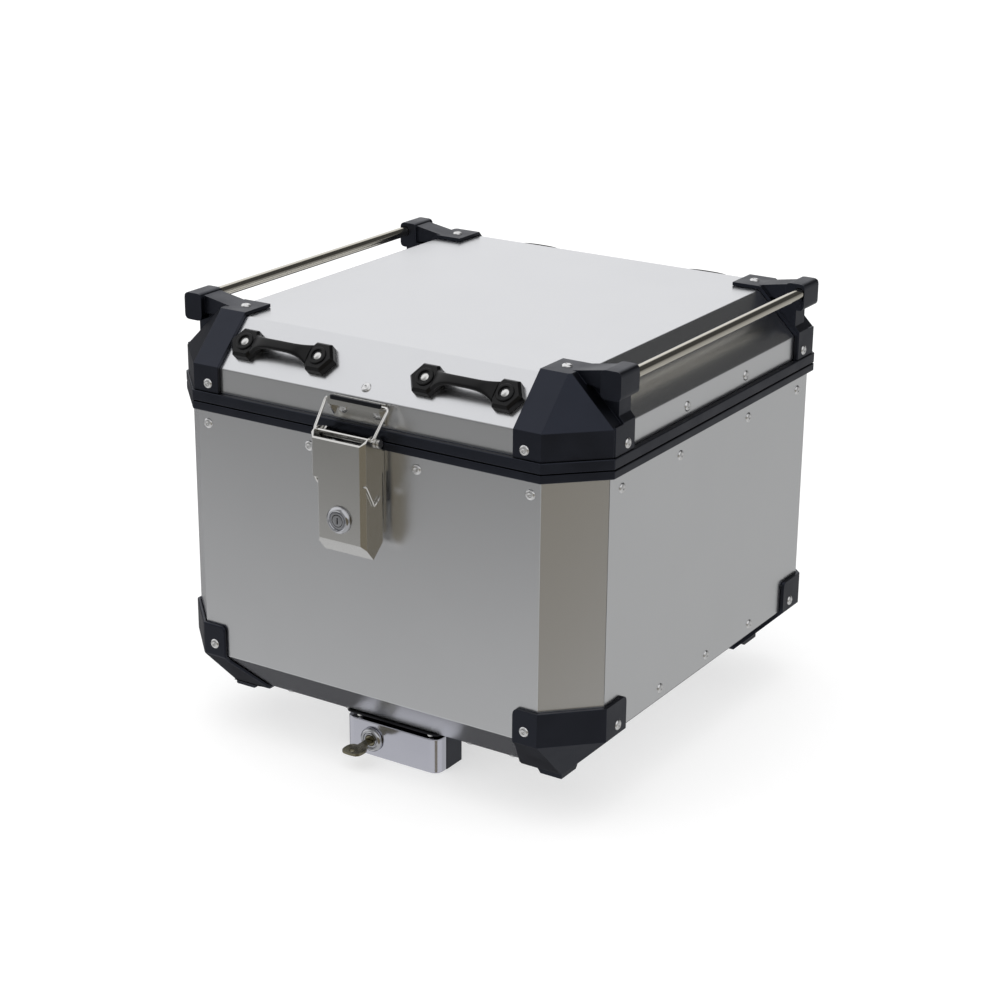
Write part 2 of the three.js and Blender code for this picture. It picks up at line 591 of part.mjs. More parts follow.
function releaseBarrel() {
  const { x, z } = RELEASE_KEY;
  const bezel = turned([[5.3, 0], [11.4, 0], [11.4, 3], [10, 4.2], [5.3, 4.2], [5.3, 0]],
    [x, RELEASE_FRONT - GAP, z], [0, -1, 0], 24);
  const barrel = turned([[5.3, 0], [8, 0], [8, 20], [5.3, 20], [5.3, 0]],
    [x, RELEASE_FRONT - GAP - 1, z], [0, 1, 0], 16);
  return bezel.add(barrel);
}

function releaseCore() {
  const { x, z } = RELEASE_KEY;
  return turned([[0, 0], [5, 0], [5, 21], [0, 21]], [x, RELEASE_FRONT - 4, z], [0, 1, 0], 16)
    .subtract(block([x - 4, x + 4], [-200, -168.5], [z - 1.2, z + 1.2]));
}

function releaseKey() {
  const { x, z } = RELEASE_KEY;
  const blade = block([x - 3.5, x + 3.5], [-204, -169], [z - 0.9, z + 0.9]);
  const { front, back, half, radius } = KEY_BOW;
  const bowShape = rounded([
    [x - half, front, radius], [x + half, front, radius],
    [x + half, back, radius], [x - half, back, radius]], 3);
  const bow = prism('Z', bowShape, z - 1.2, z + 1.2);
  return blade.add(bow).subtract(rod([x, front + 5, z - 5], [x, front + 5, z + 5], 2.5, 10));
}

function releaseBolt() {
  return block([-12, 12], [-155, -136], [-22, -14]);
}

// Steel hook under the rear edge that slips behind the rack's plate.
function rackHook(x) {
  return block([x - 15, x + 15], [140, 176], [-GAP - 3, -GAP])
    .add(block([x - 15, x + 15], [140, 143], [-12, -2]))
    .add(block([x - 15, x + 15], [140, 158], [-12, -9]));
}

// ---- Assembly ---------------------------------------------------------------------------------------

buildBody();

const lid = new THREE.Group();
model.add(lid);
add('lid_skin', lidSkin(), FINISH.sheet, lid);
add('lid_rim', lidRim(), FINISH.moulding, lid);
add('rim_seal', rimSeal(), FINISH.rubber, lid);

const lidGuardRight = geometryOf(lidGuard());
const baseGuardRight = geometryOf(baseGuard());
[
  ['front_right', false, false], ['front_left', true, false],
  ['rear_left', false, true], ['rear_right', true, true],
].forEach(([label, isMirrored, isRear]) => {
  const turn = isRear ? Math.PI : 0;
  const lidShape = isMirrored ? mirroredX(lidGuardRight) : lidGuardRight;
  const baseShape = isMirrored ? mirroredX(baseGuardRight) : baseGuardRight;
  place(`lid_corner_${label}`, lidShape, FINISH.moulding, lid).rotation.z = turn;
  place(`base_corner_${label}`, baseShape, FINISH.moulding).rotation.z = turn;
});

const railGeometry = geometryOf(rail());
place('rail_right', railGeometry, FINISH.stainless, lid);
place('rail_left', railGeometry, FINISH.stainless, lid).position.x = -2 * RAIL_X;

const loopGeometry = geometryOf(tieLoop());
const screwGeometry = geometryOf(loopScrew());
placeLoop(lid, -1, LOOP_CENTRE_X, 'front_right', loopGeometry, screwGeometry);
placeLoop(lid, -1, -LOOP_CENTRE_X, 'front_left', loopGeometry, screwGeometry);
placeLoop(lid, 1, LOOP_CENTRE_X, 'rear_right', loopGeometry, screwGeometry);
placeLoop(lid, 1, -LOOP_CENTRE_X, 'rear_left', loopGeometry, screwGeometry);

buildHinge(1, 'right', lid);
buildHinge(-1, 'left', lid);

add('lid_hook', lidHook(), FINISH.stainless, lid);
add('latch_base', latchBase(), FINISH.stainless);
add('latch_pivot_pin', latchPin(), FINISH.zincSteel);
add('latch_lever', latchLever(), FINISH.stainless);
add('latch_bail', latchBail(), FINISH.stainless);
add('latch_spring', latchSpring(), FINISH.zincSteel);
add('latch_lock_barrel', latchLockBarrel(), FINISH.satinChrome);
add('latch_lock_core', latchLockCore(), FINISH.brass);

add('release_plate', releasePlate(), FINISH.stainless);
add('release_cover', releaseCover(), FINISH.satinChrome);
add('release_block', releaseBlock(), FINISH.moulding);
add('release_lock_barrel', releaseBarrel(), FINISH.satinChrome);
add('release_lock_core', releaseCore(), FINISH.brass);
add('release_key', releaseKey(), FINISH.zincSteel);
add('release_bolt', releaseBolt(), FINISH.zincSteel);
add('rack_hook_right', rackHook(60), FINISH.zincSteel);
add('rack_hook_left', rackHook(-60), FINISH.zincSteel);

export default model;
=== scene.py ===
"""Looks for an aluminium motorcycle top case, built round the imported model's bodies.

The box is folded from satin aluminium sheet and riveted, with black moulded corner protectors,
polished side rails, tie-down loops, an over-centre latch with a lock, and a keyed release below.
"""

import logging
import math
from dataclasses import dataclass, field
from enum import Enum
from typing import Optional, Sequence

import bmesh
import bpy
from mathutils import Matrix, Vector


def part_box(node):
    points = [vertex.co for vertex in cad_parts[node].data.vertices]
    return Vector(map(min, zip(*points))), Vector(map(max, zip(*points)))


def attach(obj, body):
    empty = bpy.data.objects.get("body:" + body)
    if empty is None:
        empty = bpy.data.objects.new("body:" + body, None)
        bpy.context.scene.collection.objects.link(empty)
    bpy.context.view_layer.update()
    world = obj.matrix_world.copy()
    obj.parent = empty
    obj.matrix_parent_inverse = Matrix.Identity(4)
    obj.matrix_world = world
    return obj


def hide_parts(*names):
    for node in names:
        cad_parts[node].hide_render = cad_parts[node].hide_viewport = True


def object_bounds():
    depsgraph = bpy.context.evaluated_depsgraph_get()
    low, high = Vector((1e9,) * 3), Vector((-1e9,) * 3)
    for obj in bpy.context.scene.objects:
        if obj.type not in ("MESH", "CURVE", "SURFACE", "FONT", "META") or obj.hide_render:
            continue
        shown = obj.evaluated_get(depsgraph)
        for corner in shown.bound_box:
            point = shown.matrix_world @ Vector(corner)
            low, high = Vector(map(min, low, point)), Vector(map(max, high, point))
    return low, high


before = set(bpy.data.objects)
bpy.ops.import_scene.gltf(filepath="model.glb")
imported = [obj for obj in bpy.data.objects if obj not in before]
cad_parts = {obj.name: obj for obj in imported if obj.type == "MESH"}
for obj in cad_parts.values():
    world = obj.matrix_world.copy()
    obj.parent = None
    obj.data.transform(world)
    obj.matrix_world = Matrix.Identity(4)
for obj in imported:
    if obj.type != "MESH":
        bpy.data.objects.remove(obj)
CAD_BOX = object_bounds()

log = logging.getLogger("top_case")

Point = tuple[float, float, float]
Ring = list[bmesh.types.BMVert]
MM = 0.001
MERGE = 1e-5          # metres within which doubled corners of a copied mesh become one
CREASE = 38.0         # degrees of turn from which an edge is shaded sharp
ONE_FACE = 0.6        # degrees of turn under which two facets of a copied mesh are one face
ON_AXIS = 1e-4        # mm from its axis within which a turned ring is a single corner
RING_MERGE = 1e-3     # mm within which two rings of a turned piece become one
BEND_SHARE = 0.48     # of the way to the next corner that a bend may take up
SHEET_TURN = (20.0, 70.0)   # degrees of turn of a sheet's bends, between its facets and its cut edges
SHORTEST_BEND = 3.0   # mm
FLOOR_GAP = 0.0005    # metres between the case's lowest point and the floor


class Body(Enum):
    """The moving bodies of the case."""

    ROOT = "root"
    LID = "lid"
    LEVER = "latch_lever"
    BAIL = "latch_bail"
    LATCH_CORE = "latch_lock_core"
    RELEASE_CORE = "release_lock_core"
    KEY = "release_key"
    BOLT = "release_bolt"


class Axis(Enum):
    """A direction along which brushing, a bar or a turned piece runs."""

    X = (1.0, 0.0, 0.0)
    Y = (0.0, 1.0, 0.0)
    Z = (0.0, 0.0, 1.0)


# ---- Colours and nodes ------------------------------------------------------------------------


def linear(colour: str) -> tuple[float, float, float, float]:
    """Turns an sRGB hex colour into linear RGBA.

    Args:
        colour: six hex digits after a hash sign.

    Returns:
        The linear red, green, blue and an alpha of one.
    """
    parts = [int(colour[i:i + 2], 16) / 255 for i in (1, 3, 5)]
    red, green, blue = [c / 12.92 if c <= 0.04045 else ((c + 0.055) / 1.055) ** 2.4 for c in parts]
    return (red, green, blue, 1.0)


def add_node(tree: bpy.types.NodeTree, kind: str, inputs: Optional[dict] = None,
             **settings: object) -> bpy.types.Node:
    """Adds a node with its settings, input values and links.

    Args:
        tree: the tree that takes the node.
        kind: the node's type name.
        inputs: a value, or a socket to link from, for each input by name or number.
        **settings: properties of the node itself.

    Returns:
        The new node.
    """
    node = tree.nodes.new(kind)
    for name, value in settings.items():
        setattr(node, name, value)
    for key, value in (inputs or {}).items():
        if isinstance(value, bpy.types.NodeSocket):
            tree.links.new(value, node.inputs[key])
        else:
            node.inputs[key].default_value = value
    return node


# ---- Finishes -----------------------------------------------------------------------------------


@dataclass(frozen=True)
class Finish:
    """What every finish has: the real material's name and its colour."""

    name: str
    colour: str
    roughness: float

    def start(self) -> tuple[bpy.types.Material, bpy.types.NodeTree, bpy.types.Node]:
        """Makes an empty material with its shader.

        Returns:
            The material, its node tree and its shader node.
        """
        material = bpy.data.materials.new(self.name)
        material.use_nodes = True
        tree = material.node_tree
        shader = tree.nodes["Principled BSDF"]
        shader.inputs["Base Color"].default_value = linear(self.colour)
        shader.inputs["Roughness"].default_value = self.roughness
        return material, tree, shader

    def material(self) -> bpy.types.Material:
        """The finish's material, made once."""
        found = bpy.data.materials.get(self.name)
        return found if found else self.make()

    def make(self) -> bpy.types.Material:
        """Makes the material."""
        return self.start()[0]


@dataclass(frozen=True)
class RolledMetal(Finish):
    """Metal with a fine directional grain, cloudy patches of sheen and a little relief.

    The grain gives long soft reflections along one direction, and the clouds keep a broad
    sheet from looking like a flat fill.
    """

    grain_mm: float = 0.5
    stretch: float = 30.0
    along: Axis = Axis.X
    relief_mm: float = 0.0006
    sheen_change: float = 0.06
    sheen_spread: tuple[float, float] = (0.6, 1.4)        # of grain and cloud added together
    cloud_mm: float = 90.0
    cloud_spread: tuple[float, float] = (0.35, 0.7)
    cloud_share: float = 0.12     # of the shade colour in the middle of a cloud
    shade: str = "#8f8f8f"

    def make(self) -> bpy.types.Material:
        """Makes the material.

        Returns:
            Metal whose roughness, tone and relief follow the grain and the clouds.
        """
        material, tree, shader = self.start()
        shader.inputs["Metallic"].default_value = 1.0
        place = add_node(tree, "ShaderNodeTexCoord").outputs["Object"]
        scale = [1 / (self.grain_mm * MM * (self.stretch if part else 1.0)) for part in self.along.value]
        drawn = add_node(tree, "ShaderNodeMapping", {"Vector": place, "Scale": scale})
        grain = add_node(tree, "ShaderNodeTexNoise", {
            "Vector": drawn.outputs[0], "Scale": 1.0, "Detail": 3.0})
        cloud = add_node(tree, "ShaderNodeTexNoise", {
            "Vector": place, "Scale": 1 / (self.cloud_mm * MM), "Detail": 4.0, "Roughness": 0.6})
        both = add_node(tree, "ShaderNodeMath", {
            0: grain.outputs["Fac"], 1: cloud.outputs["Fac"]}, operation="ADD")
        rough = add_node(tree, "ShaderNodeMapRange", {
            "Value": both.outputs[0], "From Min": self.sheen_spread[0], "From Max": self.sheen_spread[1],
            "To Min": self.roughness - self.sheen_change, "To Max": self.roughness + self.sheen_change})
        tree.links.new(rough.outputs[0], shader.inputs["Roughness"])
        patch = add_node(tree, "ShaderNodeMapRange", {
            "Value": cloud.outputs["Fac"], "From Min": self.cloud_spread[0],
            "From Max": self.cloud_spread[1], "To Max": self.cloud_share})
        tone = add_node(tree, "ShaderNodeMix", {
            "Factor": patch.outputs[0], 6: linear(self.colour), 7: linear(self.shade)}, data_type="RGBA")
        tree.links.new(tone.outputs[2], shader.inputs["Base Color"])
        bump = add_node(tree, "ShaderNodeBump", {
            "Height": grain.outputs["Fac"], "Strength": 1.0, "Distance": self.relief_mm * MM})
        tree.links.new(bump.outputs[0], shader.inputs["Normal"])
        return material


@dataclass(frozen=True)
class MouldedPlastic(Finish):
    """Moulding with a spark-eroded grit, paler where handling has rubbed its high spots."""

    grit_mm: float = 0.45
    relief_mm: float = 0.03
    patch_mm: float = 25.0
    patch_spread: tuple[float, float] = (0.3, 0.7)
    sheen_change: tuple[float, float] = (-0.05, 0.07)
    rubbed: str = "#2b2c30"
    rubbed_spread: tuple[float, float] = (0.45, 0.75)
    rubbed_share: float = 0.35
    sheen: str = "#ffffff"
    gloss: float = 0.5

    def make(self) -> bpy.types.Material:
        """Makes the material.

        Returns:
            Plastic whose relief, sheen and tone follow the grit and slow patches.
        """
        material, tree, shader = self.start()
        shader.inputs["Specular Tint"].default_value = linear(self.sheen)
        shader.inputs["Specular IOR Level"].default_value = self.gloss
        place = add_node(tree, "ShaderNodeTexCoord").outputs["Object"]
        grit = add_node(tree, "ShaderNodeTexNoise", {
            "Vector": place, "Scale": 1 / (self.grit_mm * MM), "Detail": 2.0, "Roughness": 0.6})
        patch = add_node(tree, "ShaderNodeTexNoise", {
            "Vector": place, "Scale": 1 / (self.patch_mm * MM), "Detail": 3.0})
        rough = add_node(tree, "ShaderNodeMapRange", {
            "Value": patch.outputs["Fac"], "From Min": self.patch_spread[0], "From Max": self.patch_spread[1],
            "To Min": self.roughness + self.sheen_change[0], "To Max": self.roughness + self.sheen_change[1]})
        tree.links.new(rough.outputs[0], shader.inputs["Roughness"])
        amount = add_node(tree, "ShaderNodeMapRange", {
            "Value": patch.outputs["Fac"], "From Min": self.rubbed_spread[0],
            "From Max": self.rubbed_spread[1], "To Max": self.rubbed_share})
        tone = add_node(tree, "ShaderNodeMix", {
            "Factor": amount.outputs[0], 6: linear(self.colour), 7: linear(self.rubbed)}, data_type="RGBA")
        tree.links.new(tone.outputs[2], shader.inputs["Base Color"])
        bump = add_node(tree, "ShaderNodeBump", {
            "Height": grit.outputs["Fac"], "Strength": 1.0, "Distance": self.relief_mm * MM})
        tree.links.new(bump.outputs[0], shader.inputs["Normal"])
        return material


# Satin anodised aluminium sheet: an even silver with soft reflections and a faint rolling grain.
SHEET = RolledMetal("satin_aluminium_sheet", "#e3e4e6", 0.26, grain_mm=0.35, stretch=14.0, along=Axis.X,
                    relief_mm=0.00002, sheen_change=0.01, shade="#d6d7d9")
# Glass-filled nylon mouldings: near black, satin, with a fine grit that greys the lit facets.
MOULDING = MouldedPlastic("black_glass_filled_nylon", "#030304", 0.38, rubbed="#0e0f12",
                          sheen="#d6e0ff", gloss=0.6)
# Acetal loops: blacker and smoother than the protectors, with small clear highlights.
LOOP_PLASTIC = MouldedPlastic("black_acetal_moulding", "#020203", 0.3, relief_mm=0.012, rubbed="#08080a",
                              gloss=0.3)
# Foam rubber seal: matt black with no gloss.
RUBBER = MouldedPlastic("black_sponge_rubber", "#0a0a0b", 0.85, grit_mm=0.7, relief_mm=0.08, rubbed="#141416")
# Polished stainless steel: a warm mirror with faint polishing lines along the bar.
RAIL_STEEL = RolledMetal("polished_stainless_tube", "#d8d3c6", 0.13, grain_mm=0.25, along=Axis.Y,
                         relief_mm=0.002, sheen_change=0.03, shade="#b9b3a4")
# Brushed stainless pressings: warm grey, the brushing runs up and down the lever.
LATCH_STEEL = RolledMetal("brushed_stainless_pressing", "#d9d8d5", 0.2, grain_mm=0.2, along=Axis.Z,
                          relief_mm=0.0003, sheen_change=0.04, shade="#bcb8ae")
# Drawn stainless wire: a bright clean mirror.
WIRE_STEEL = RolledMetal("polished_stainless_wire", "#f0efec", 0.12, grain_mm=0.2, relief_mm=0.0002,
                         sheen_change=0.02, shade="#dcdad4")
# Dark steel that paints shade: the release plate, in the shade under the case, and the strip on the hook's
# lip are painted dark, with a faint warm sheen.
PAINTED_SHADE_STEEL = RolledMetal("blackened_steel_plate", "#35363a", 0.36, grain_mm=0.4, stretch=1.0, shade="#242528")
# Satin chrome on zinc casting: cool bluish grey with a tight highlight.
CHROME = RolledMetal("satin_chrome_casting", "#dcdde8", 0.17, grain_mm=0.3, stretch=1.0,
                     relief_mm=0.0004, sheen_change=0.03, shade="#c4c6d2")
# Bright chrome on the lock heads: a darker, clearer mirror than the casting.
LOCK_CHROME = RolledMetal("bright_chrome_lock", "#c4c5c9", 0.09, grain_mm=0.3, stretch=1.0,
                          relief_mm=0.0002, sheen_change=0.02, shade="#a8a9ae")
# Zinc-plated steel: pale grey, slightly blotchy.
ZINC = RolledMetal("zinc_plated_steel", "#f0f0ee", 0.3, grain_mm=0.4, stretch=1.0, shade="#b3b2ab")
# Domed aluminium rivet heads: brighter than the sheet, hammered a little uneven by setting.
RIVET = RolledMetal("aluminium_rivet_head", "#eeeeee", 0.26, grain_mm=0.8, stretch=1.0,
                    relief_mm=0.02, shade="#cccccc")
# Nickel-plated brass: a warm yellow grey, rubbed at the edges.
BRASS = RolledMetal("nickel_plated_brass", "#8f8a76", 0.22, grain_mm=0.3, stretch=1.0, shade="#6b6450")
# Matt paper under the case: an even pale floor with no gloss.
PAPER = Finish("matt_white_paper", "#bcbcbc", 0.9)


# ---- Mesh helpers -------------------------------------------------------------------------------


def as_object(bm: bmesh.types.BMesh, name: str) -> bpy.types.Object:
    """Turns a finished bmesh into an object in the scene.

    Args:
        bm: the mesh, which is freed.
        name: the piece's name.

    Returns:
        The new object, at the origin.
    """
    mesh = bpy.data.meshes.new(name)
    bm.to_mesh(mesh)
    bm.free()
    stale = mesh.attributes.get("custom_normal")
    if stale:
        mesh.attributes.remove(stale)
    piece = bpy.data.objects.new(name, mesh)
    bpy.context.scene.collection.objects.link(piece)
    return piece


def copied(node: str) -> bmesh.types.BMesh:
    """A clean copy of a frame node: doubled corners merged and flat facets made one face.

    Args:
        node: the frame node, which is left as it is.

    Returns:
        The copy.
    """
    bm = bmesh.new()
    bm.from_mesh(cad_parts[node].data)
    bmesh.ops.remove_doubles(bm, verts=bm.verts, dist=MERGE)
    bmesh.ops.dissolve_limit(bm, angle_limit=math.radians(ONE_FACE), verts=bm.verts, edges=bm.edges)
    return bm


@dataclass(frozen=True)
class Edge:
    """How a piece's edges are rounded."""

    radius_mm: float
    segments: int = 3     # faces across the rounding
    angle: float = 32.0   # only edges that turn by more than this many degrees are rounded


CUT_SHEET = Edge(0.2, 1, 60.0)
FLOOR_SHEET = Edge(0.3, 2)
PRESSING = Edge(0.4, 2)
THICK_PLATE = Edge(0.5, 2)
CUT_STEEL = Edge(0.6, 2)
PIN_END = Edge(0.6)
LEVER_FOLD = Edge(0.7, 4)
SCREW_HEAD = Edge(0.7, 3, 40.0)
BAR_END = Edge(0.1, 1, 40.0)
SMALL_BRASS = Edge(0.3, 2)
SOFT_RUBBER = Edge(0.4)
LOOP_EDGE = Edge(0.7, 3, 25.0)
BLOCK_EDGE = Edge(0.8)
MOULDED_STRIP = Edge(0.9)
CASTING = Edge(1.2, 4)
BASE_GUARD = Edge(1.4, 4, 25.0)
LID_GUARD = Edge(1.8, 4, 25.0)


def round_edges(piece: bpy.types.Object, edge: Edge) -> None:
    """Rounds a piece's sharp edges, evens its shading and keeps the result as a plain mesh.

    Args:
        piece: the piece to change.
        edge: how its edges are rounded.
    """
    bevel = piece.modifiers.new("round_edges", "BEVEL")
    bevel.width = edge.radius_mm * MM
    bevel.segments = edge.segments
    bevel.limit_method = "ANGLE"
    bevel.angle_limit = math.radians(edge.angle)
    bevel.use_clamp_overlap = True
    settle(piece)
    shade_evenly(piece)


def shade_evenly(piece: bpy.types.Object, crease: float = CREASE) -> None:
    """Shades rounded edges as smooth and broad faces as flat.

    Args:
        piece: the piece to change.
        crease: edges that turn by more than this many degrees stay sharp.
    """
    piece.data.shade_smooth()
    piece.data.set_sharp_from_angle(angle=math.radians(crease))
    even = piece.modifiers.new("even_shading", "WEIGHTED_NORMAL")
    even.keep_sharp = True
    settle(piece)


def settle(piece: bpy.types.Object) -> None:
    """Applies a piece's modifiers, so that only its plain mesh is left.

    Args:
        piece: the piece to change.
    """
    bpy.context.view_layer.update()
    graph = bpy.context.evaluated_depsgraph_get()
    mesh = bpy.data.meshes.new_from_object(piece.evaluated_get(graph), depsgraph=graph)
    piece.modifiers.clear()
    old = piece.data
    piece.data = mesh
    bpy.data.meshes.remove(old)
    mesh.name = piece.name


def turned(name: str, profile: Sequence[tuple[float, float]], start: Point, axis: Vector,
           steps: int = 40) -> bpy.types.Object:
    """Spins a profile round an axis.

    Args:
        name: the piece's name.
        profile: radius and distance along the axis, in mm, from one end to the other.
        start: where the axis starts, in mm.
        axis: its direction.
        steps: faces round the piece.

    Returns:
        The turned piece.
    """
    bm = bmesh.new()
    rings = []
    for radius, along in profile:
        if radius < ON_AXIS:
            rings.append([bm.verts.new((0, 0, along))])
            continue
        angles = [2 * math.pi * i / steps for i in range(steps)]
        rings.append([bm.verts.new((radius * math.cos(a), radius * math.sin(a), along)) for a in angles])
    for lower, upper in zip(rings, rings[1:]):
        for i in range(steps):
            corners = [lower[i % len(lower)], lower[(i + 1) % len(lower)],
                       upper[(i + 1) % len(upper)], upper[i % len(upper)]]
            unique = list(dict.fromkeys(corners))
            if len(unique) > 2:
                bm.faces.new(unique)
    bmesh.ops.remove_doubles(bm, verts=bm.verts, dist=RING_MERGE)
    bmesh.ops.holes_fill(bm, edges=[e for e in bm.edges if e.is_boundary], sides=0)
    place = Matrix.Translation(Vector(start)) @ axis.to_track_quat("Z", "Y").to_matrix().to_4x4()
    bmesh.ops.transform(bm, matrix=Matrix.Scale(MM, 4) @ place, verts=bm.verts)
    bmesh.ops.recalc_face_normals(bm, faces=bm.faces)
    return as_object(bm, name)


def block(name: str, low: Point, high: Point) -> bpy.types.Object:
    """A plain box.

    Args:
        name: the piece's name.
        low: its lowest corner, in mm.
        high: its highest corner, in mm.

    Returns:
        The box.
    """
    bm = bmesh.new()
    bmesh.ops.create_cube(bm, size=1.0)
    low, high = Vector(low) * MM, Vector(high) * MM
    bmesh.ops.scale(bm, vec=high - low, verts=bm.verts)
    bmesh.ops.translate(bm, vec=(low + high) / 2, verts=bm.verts)
    return as_object(bm, name)


def softened_bends(points: Sequence[Vector], radius: float, steps: int = 6) -> list[Vector]:
    """Replaces each corner of a path by a smooth bend.

    Args:
        points: the path's corners.
        radius: how far from a corner the bend starts.
        steps: points along each bend.

    Returns:
        The path with its bends.
    """
    path = [points[0]]
    for before, corner, after in zip(points, points[1:], points[2:]):
        back, on = before - corner, after - corner
        into = corner + back.normalized() * min(radius, back.length * BEND_SHARE)
        out = corner + on.normalized() * min(radius, on.length * BEND_SHARE)
        for i in range(steps + 1):
            t = i / steps
            path.append(into * (1 - t) ** 2 + corner * 2 * t * (1 - t) + out * t * t)
    path.append(points[-1])
    return path


def wire(name: str, points: Sequence[Point], radius: float, bend: float = 3.0, closed: bool = False,
         sides: int = 16) -> bpy.types.Object:
    """A round wire along a path.

    Args:
        name: the piece's name.
        points: the path's corners, in mm.
        radius: the wire's radius, in mm.
        bend: how far from a corner its bend starts, in mm.
        closed: whether the wire's ends meet.
        sides: faces round the wire.

    Returns:
        The wire as a closed mesh.
    """
    corners = [Vector(p) for p in points]
    if closed:
        middle = (corners[0] + corners[-1]) / 2
        corners = [middle, *corners, middle]
    path = softened_bends(corners, bend)
    if closed:
        path = path[:-1]
    curve = bpy.data.curves.new(name, "CURVE")
    curve.dimensions = "3D"
    curve.bevel_depth = radius * MM
    curve.bevel_resolution = sides // 4 - 1
    curve.use_fill_caps = not closed
    spline = curve.splines.new("POLY")
    spline.points.add(len(path) - 1)
    for point, place in zip(spline.points, path):
        point.co = (*(place * MM), 1.0)
    spline.use_cyclic_u = closed
    holder = bpy.data.objects.new(name + "_path", curve)
    bpy.context.scene.collection.objects.link(holder)
    bpy.context.view_layer.update()
    graph = bpy.context.evaluated_depsgraph_get()
    mesh = bpy.data.meshes.new_from_object(holder.evaluated_get(graph), depsgraph=graph)
    bpy.data.objects.remove(holder)
    bm = bmesh.new()
    bm.from_mesh(mesh)
    bmesh.ops.remove_doubles(bm, verts=bm.verts, dist=MERGE / 10)
    bmesh.ops.recalc_face_normals(bm, faces=bm.faces)
    bpy.data.meshes.remove(mesh)
    piece = as_object(bm, name)
    for polygon in piece.data.polygons:
        polygon.use_smooth = True
    return piece


# ---- Sub-assemblies -----------------------------------------------------------------------------

CORNERS = ("front_right", "front_left", "rear_left", "rear_right")
SIDES = ("right", "left")


@dataclass
class Piece:
    """A finished object with what the frame has to know about it."""

    shape: bpy.types.Object
    body: Body
    finish: Finish
    slot: str
    stands_for: tuple[str, ...] = ()


@dataclass
class SubAssembly:
    """A group of pieces that is built and dressed together."""

    pieces: list[Piece] = field(default_factory=list, init=False)

    def build(self) -> None:
        """Makes the pieces' meshes."""
        raise NotImplementedError

    def add(self, shape: bpy.types.Object, body: Body, finish: Finish, slot: str, *stands_for: str) -> None:
        """Keeps a piece for dressing."""
        self.pieces.append(Piece(shape, body, finish, slot, stands_for))

    def soften(self, node: str, body: Body, finish: Finish, slot: str, edge: Edge) -> None:
        """Keeps a round-edged copy of a frame node.

        Args:
            node: the frame node.
            body: the body that it rides on.
            finish: its finish.
            slot: its material slot.
            edge: how its edges are rounded.
        """
        piece = as_object(copied(node), node + "_piece")
        round_edges(piece, edge)
        self.add(piece, body, finish, slot, node)

    def dress(self) -> None:
        """Gives each piece its material and body, and hides the frame nodes that it stands for."""
        for piece in self.pieces:
            shape = piece.shape
            shape.data.materials.clear()
            shape.data.materials.append(piece.finish.material())
            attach(shape, piece.body.value)
            if piece.stands_for:
                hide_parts(*piece.stands_for)
            log.info("%s: %s faces, %s, on %s", shape.name, len(shape.data.polygons),
                     piece.finish.name, piece.body.value)


def fold(bm: bmesh.types.BMesh, outer_mm: float, inner_mm: float, segments: int = 4) -> None:
    """Rounds the bends of a folded sheet, outside and inside, and leaves its cut edges alone.

    Args:
        bm: the sheet.
        outer_mm: width of the rounding on the outside of a bend.
        inner_mm: width of the rounding on the inside.
        segments: faces across a bend.
    """
    low, high = (math.radians(turn) for turn in SHEET_TURN)
    for convex, width in ((True, outer_mm), (False, inner_mm)):
        bends = [
            e for e in bm.edges
            if len(e.link_faces) == 2 and low < e.calc_face_angle() < high
            and e.is_convex == convex and e.calc_length() > SHORTEST_BEND * MM]
        bmesh.ops.bevel(bm, geom=bends, offset=width * MM, segments=segments, affect="EDGES",
                        profile=0.5, clamp_overlap=True, offset_type="OFFSET")


def folded_sheet(node: str, bend_mm: float = 2.4) -> bpy.types.Object:
    """A folded sheet with rounded bends and barely eased cut edges.

    Args:
        node: the frame node that it copies.
        bend_mm: width of the rounding on the outside of a bend.

    Returns:
        The sheet.
    """
    bm = copied(node)
    fold(bm, bend_mm, bend_mm / 2)
    sheet = as_object(bm, node + "_piece")
    round_edges(sheet, CUT_SHEET)
    return sheet


@dataclass
class SheetBox(SubAssembly):
    """The body's folded sheets, its edge moulding and its base protectors."""

    panels: tuple[str, ...] = ("front_panel", "rear_panel", "side_panel_right", "side_panel_left")

    def build(self) -> None:
        """Makes the panels, floor, edge moulding and protectors."""
        for node in self.panels:
            self.add(folded_sheet(node), Body.ROOT, SHEET, "aluminium_sheet", node)
        self.soften("floor_pan", Body.ROOT, SHEET, "aluminium_sheet", FLOOR_SHEET)
        self.soften("body_rim", Body.ROOT, MOULDING, "black_moulding", MOULDED_STRIP)
        for corner in CORNERS:
            self.soften("base_corner_" + corner, Body.ROOT, MOULDING, "black_moulding", BASE_GUARD)


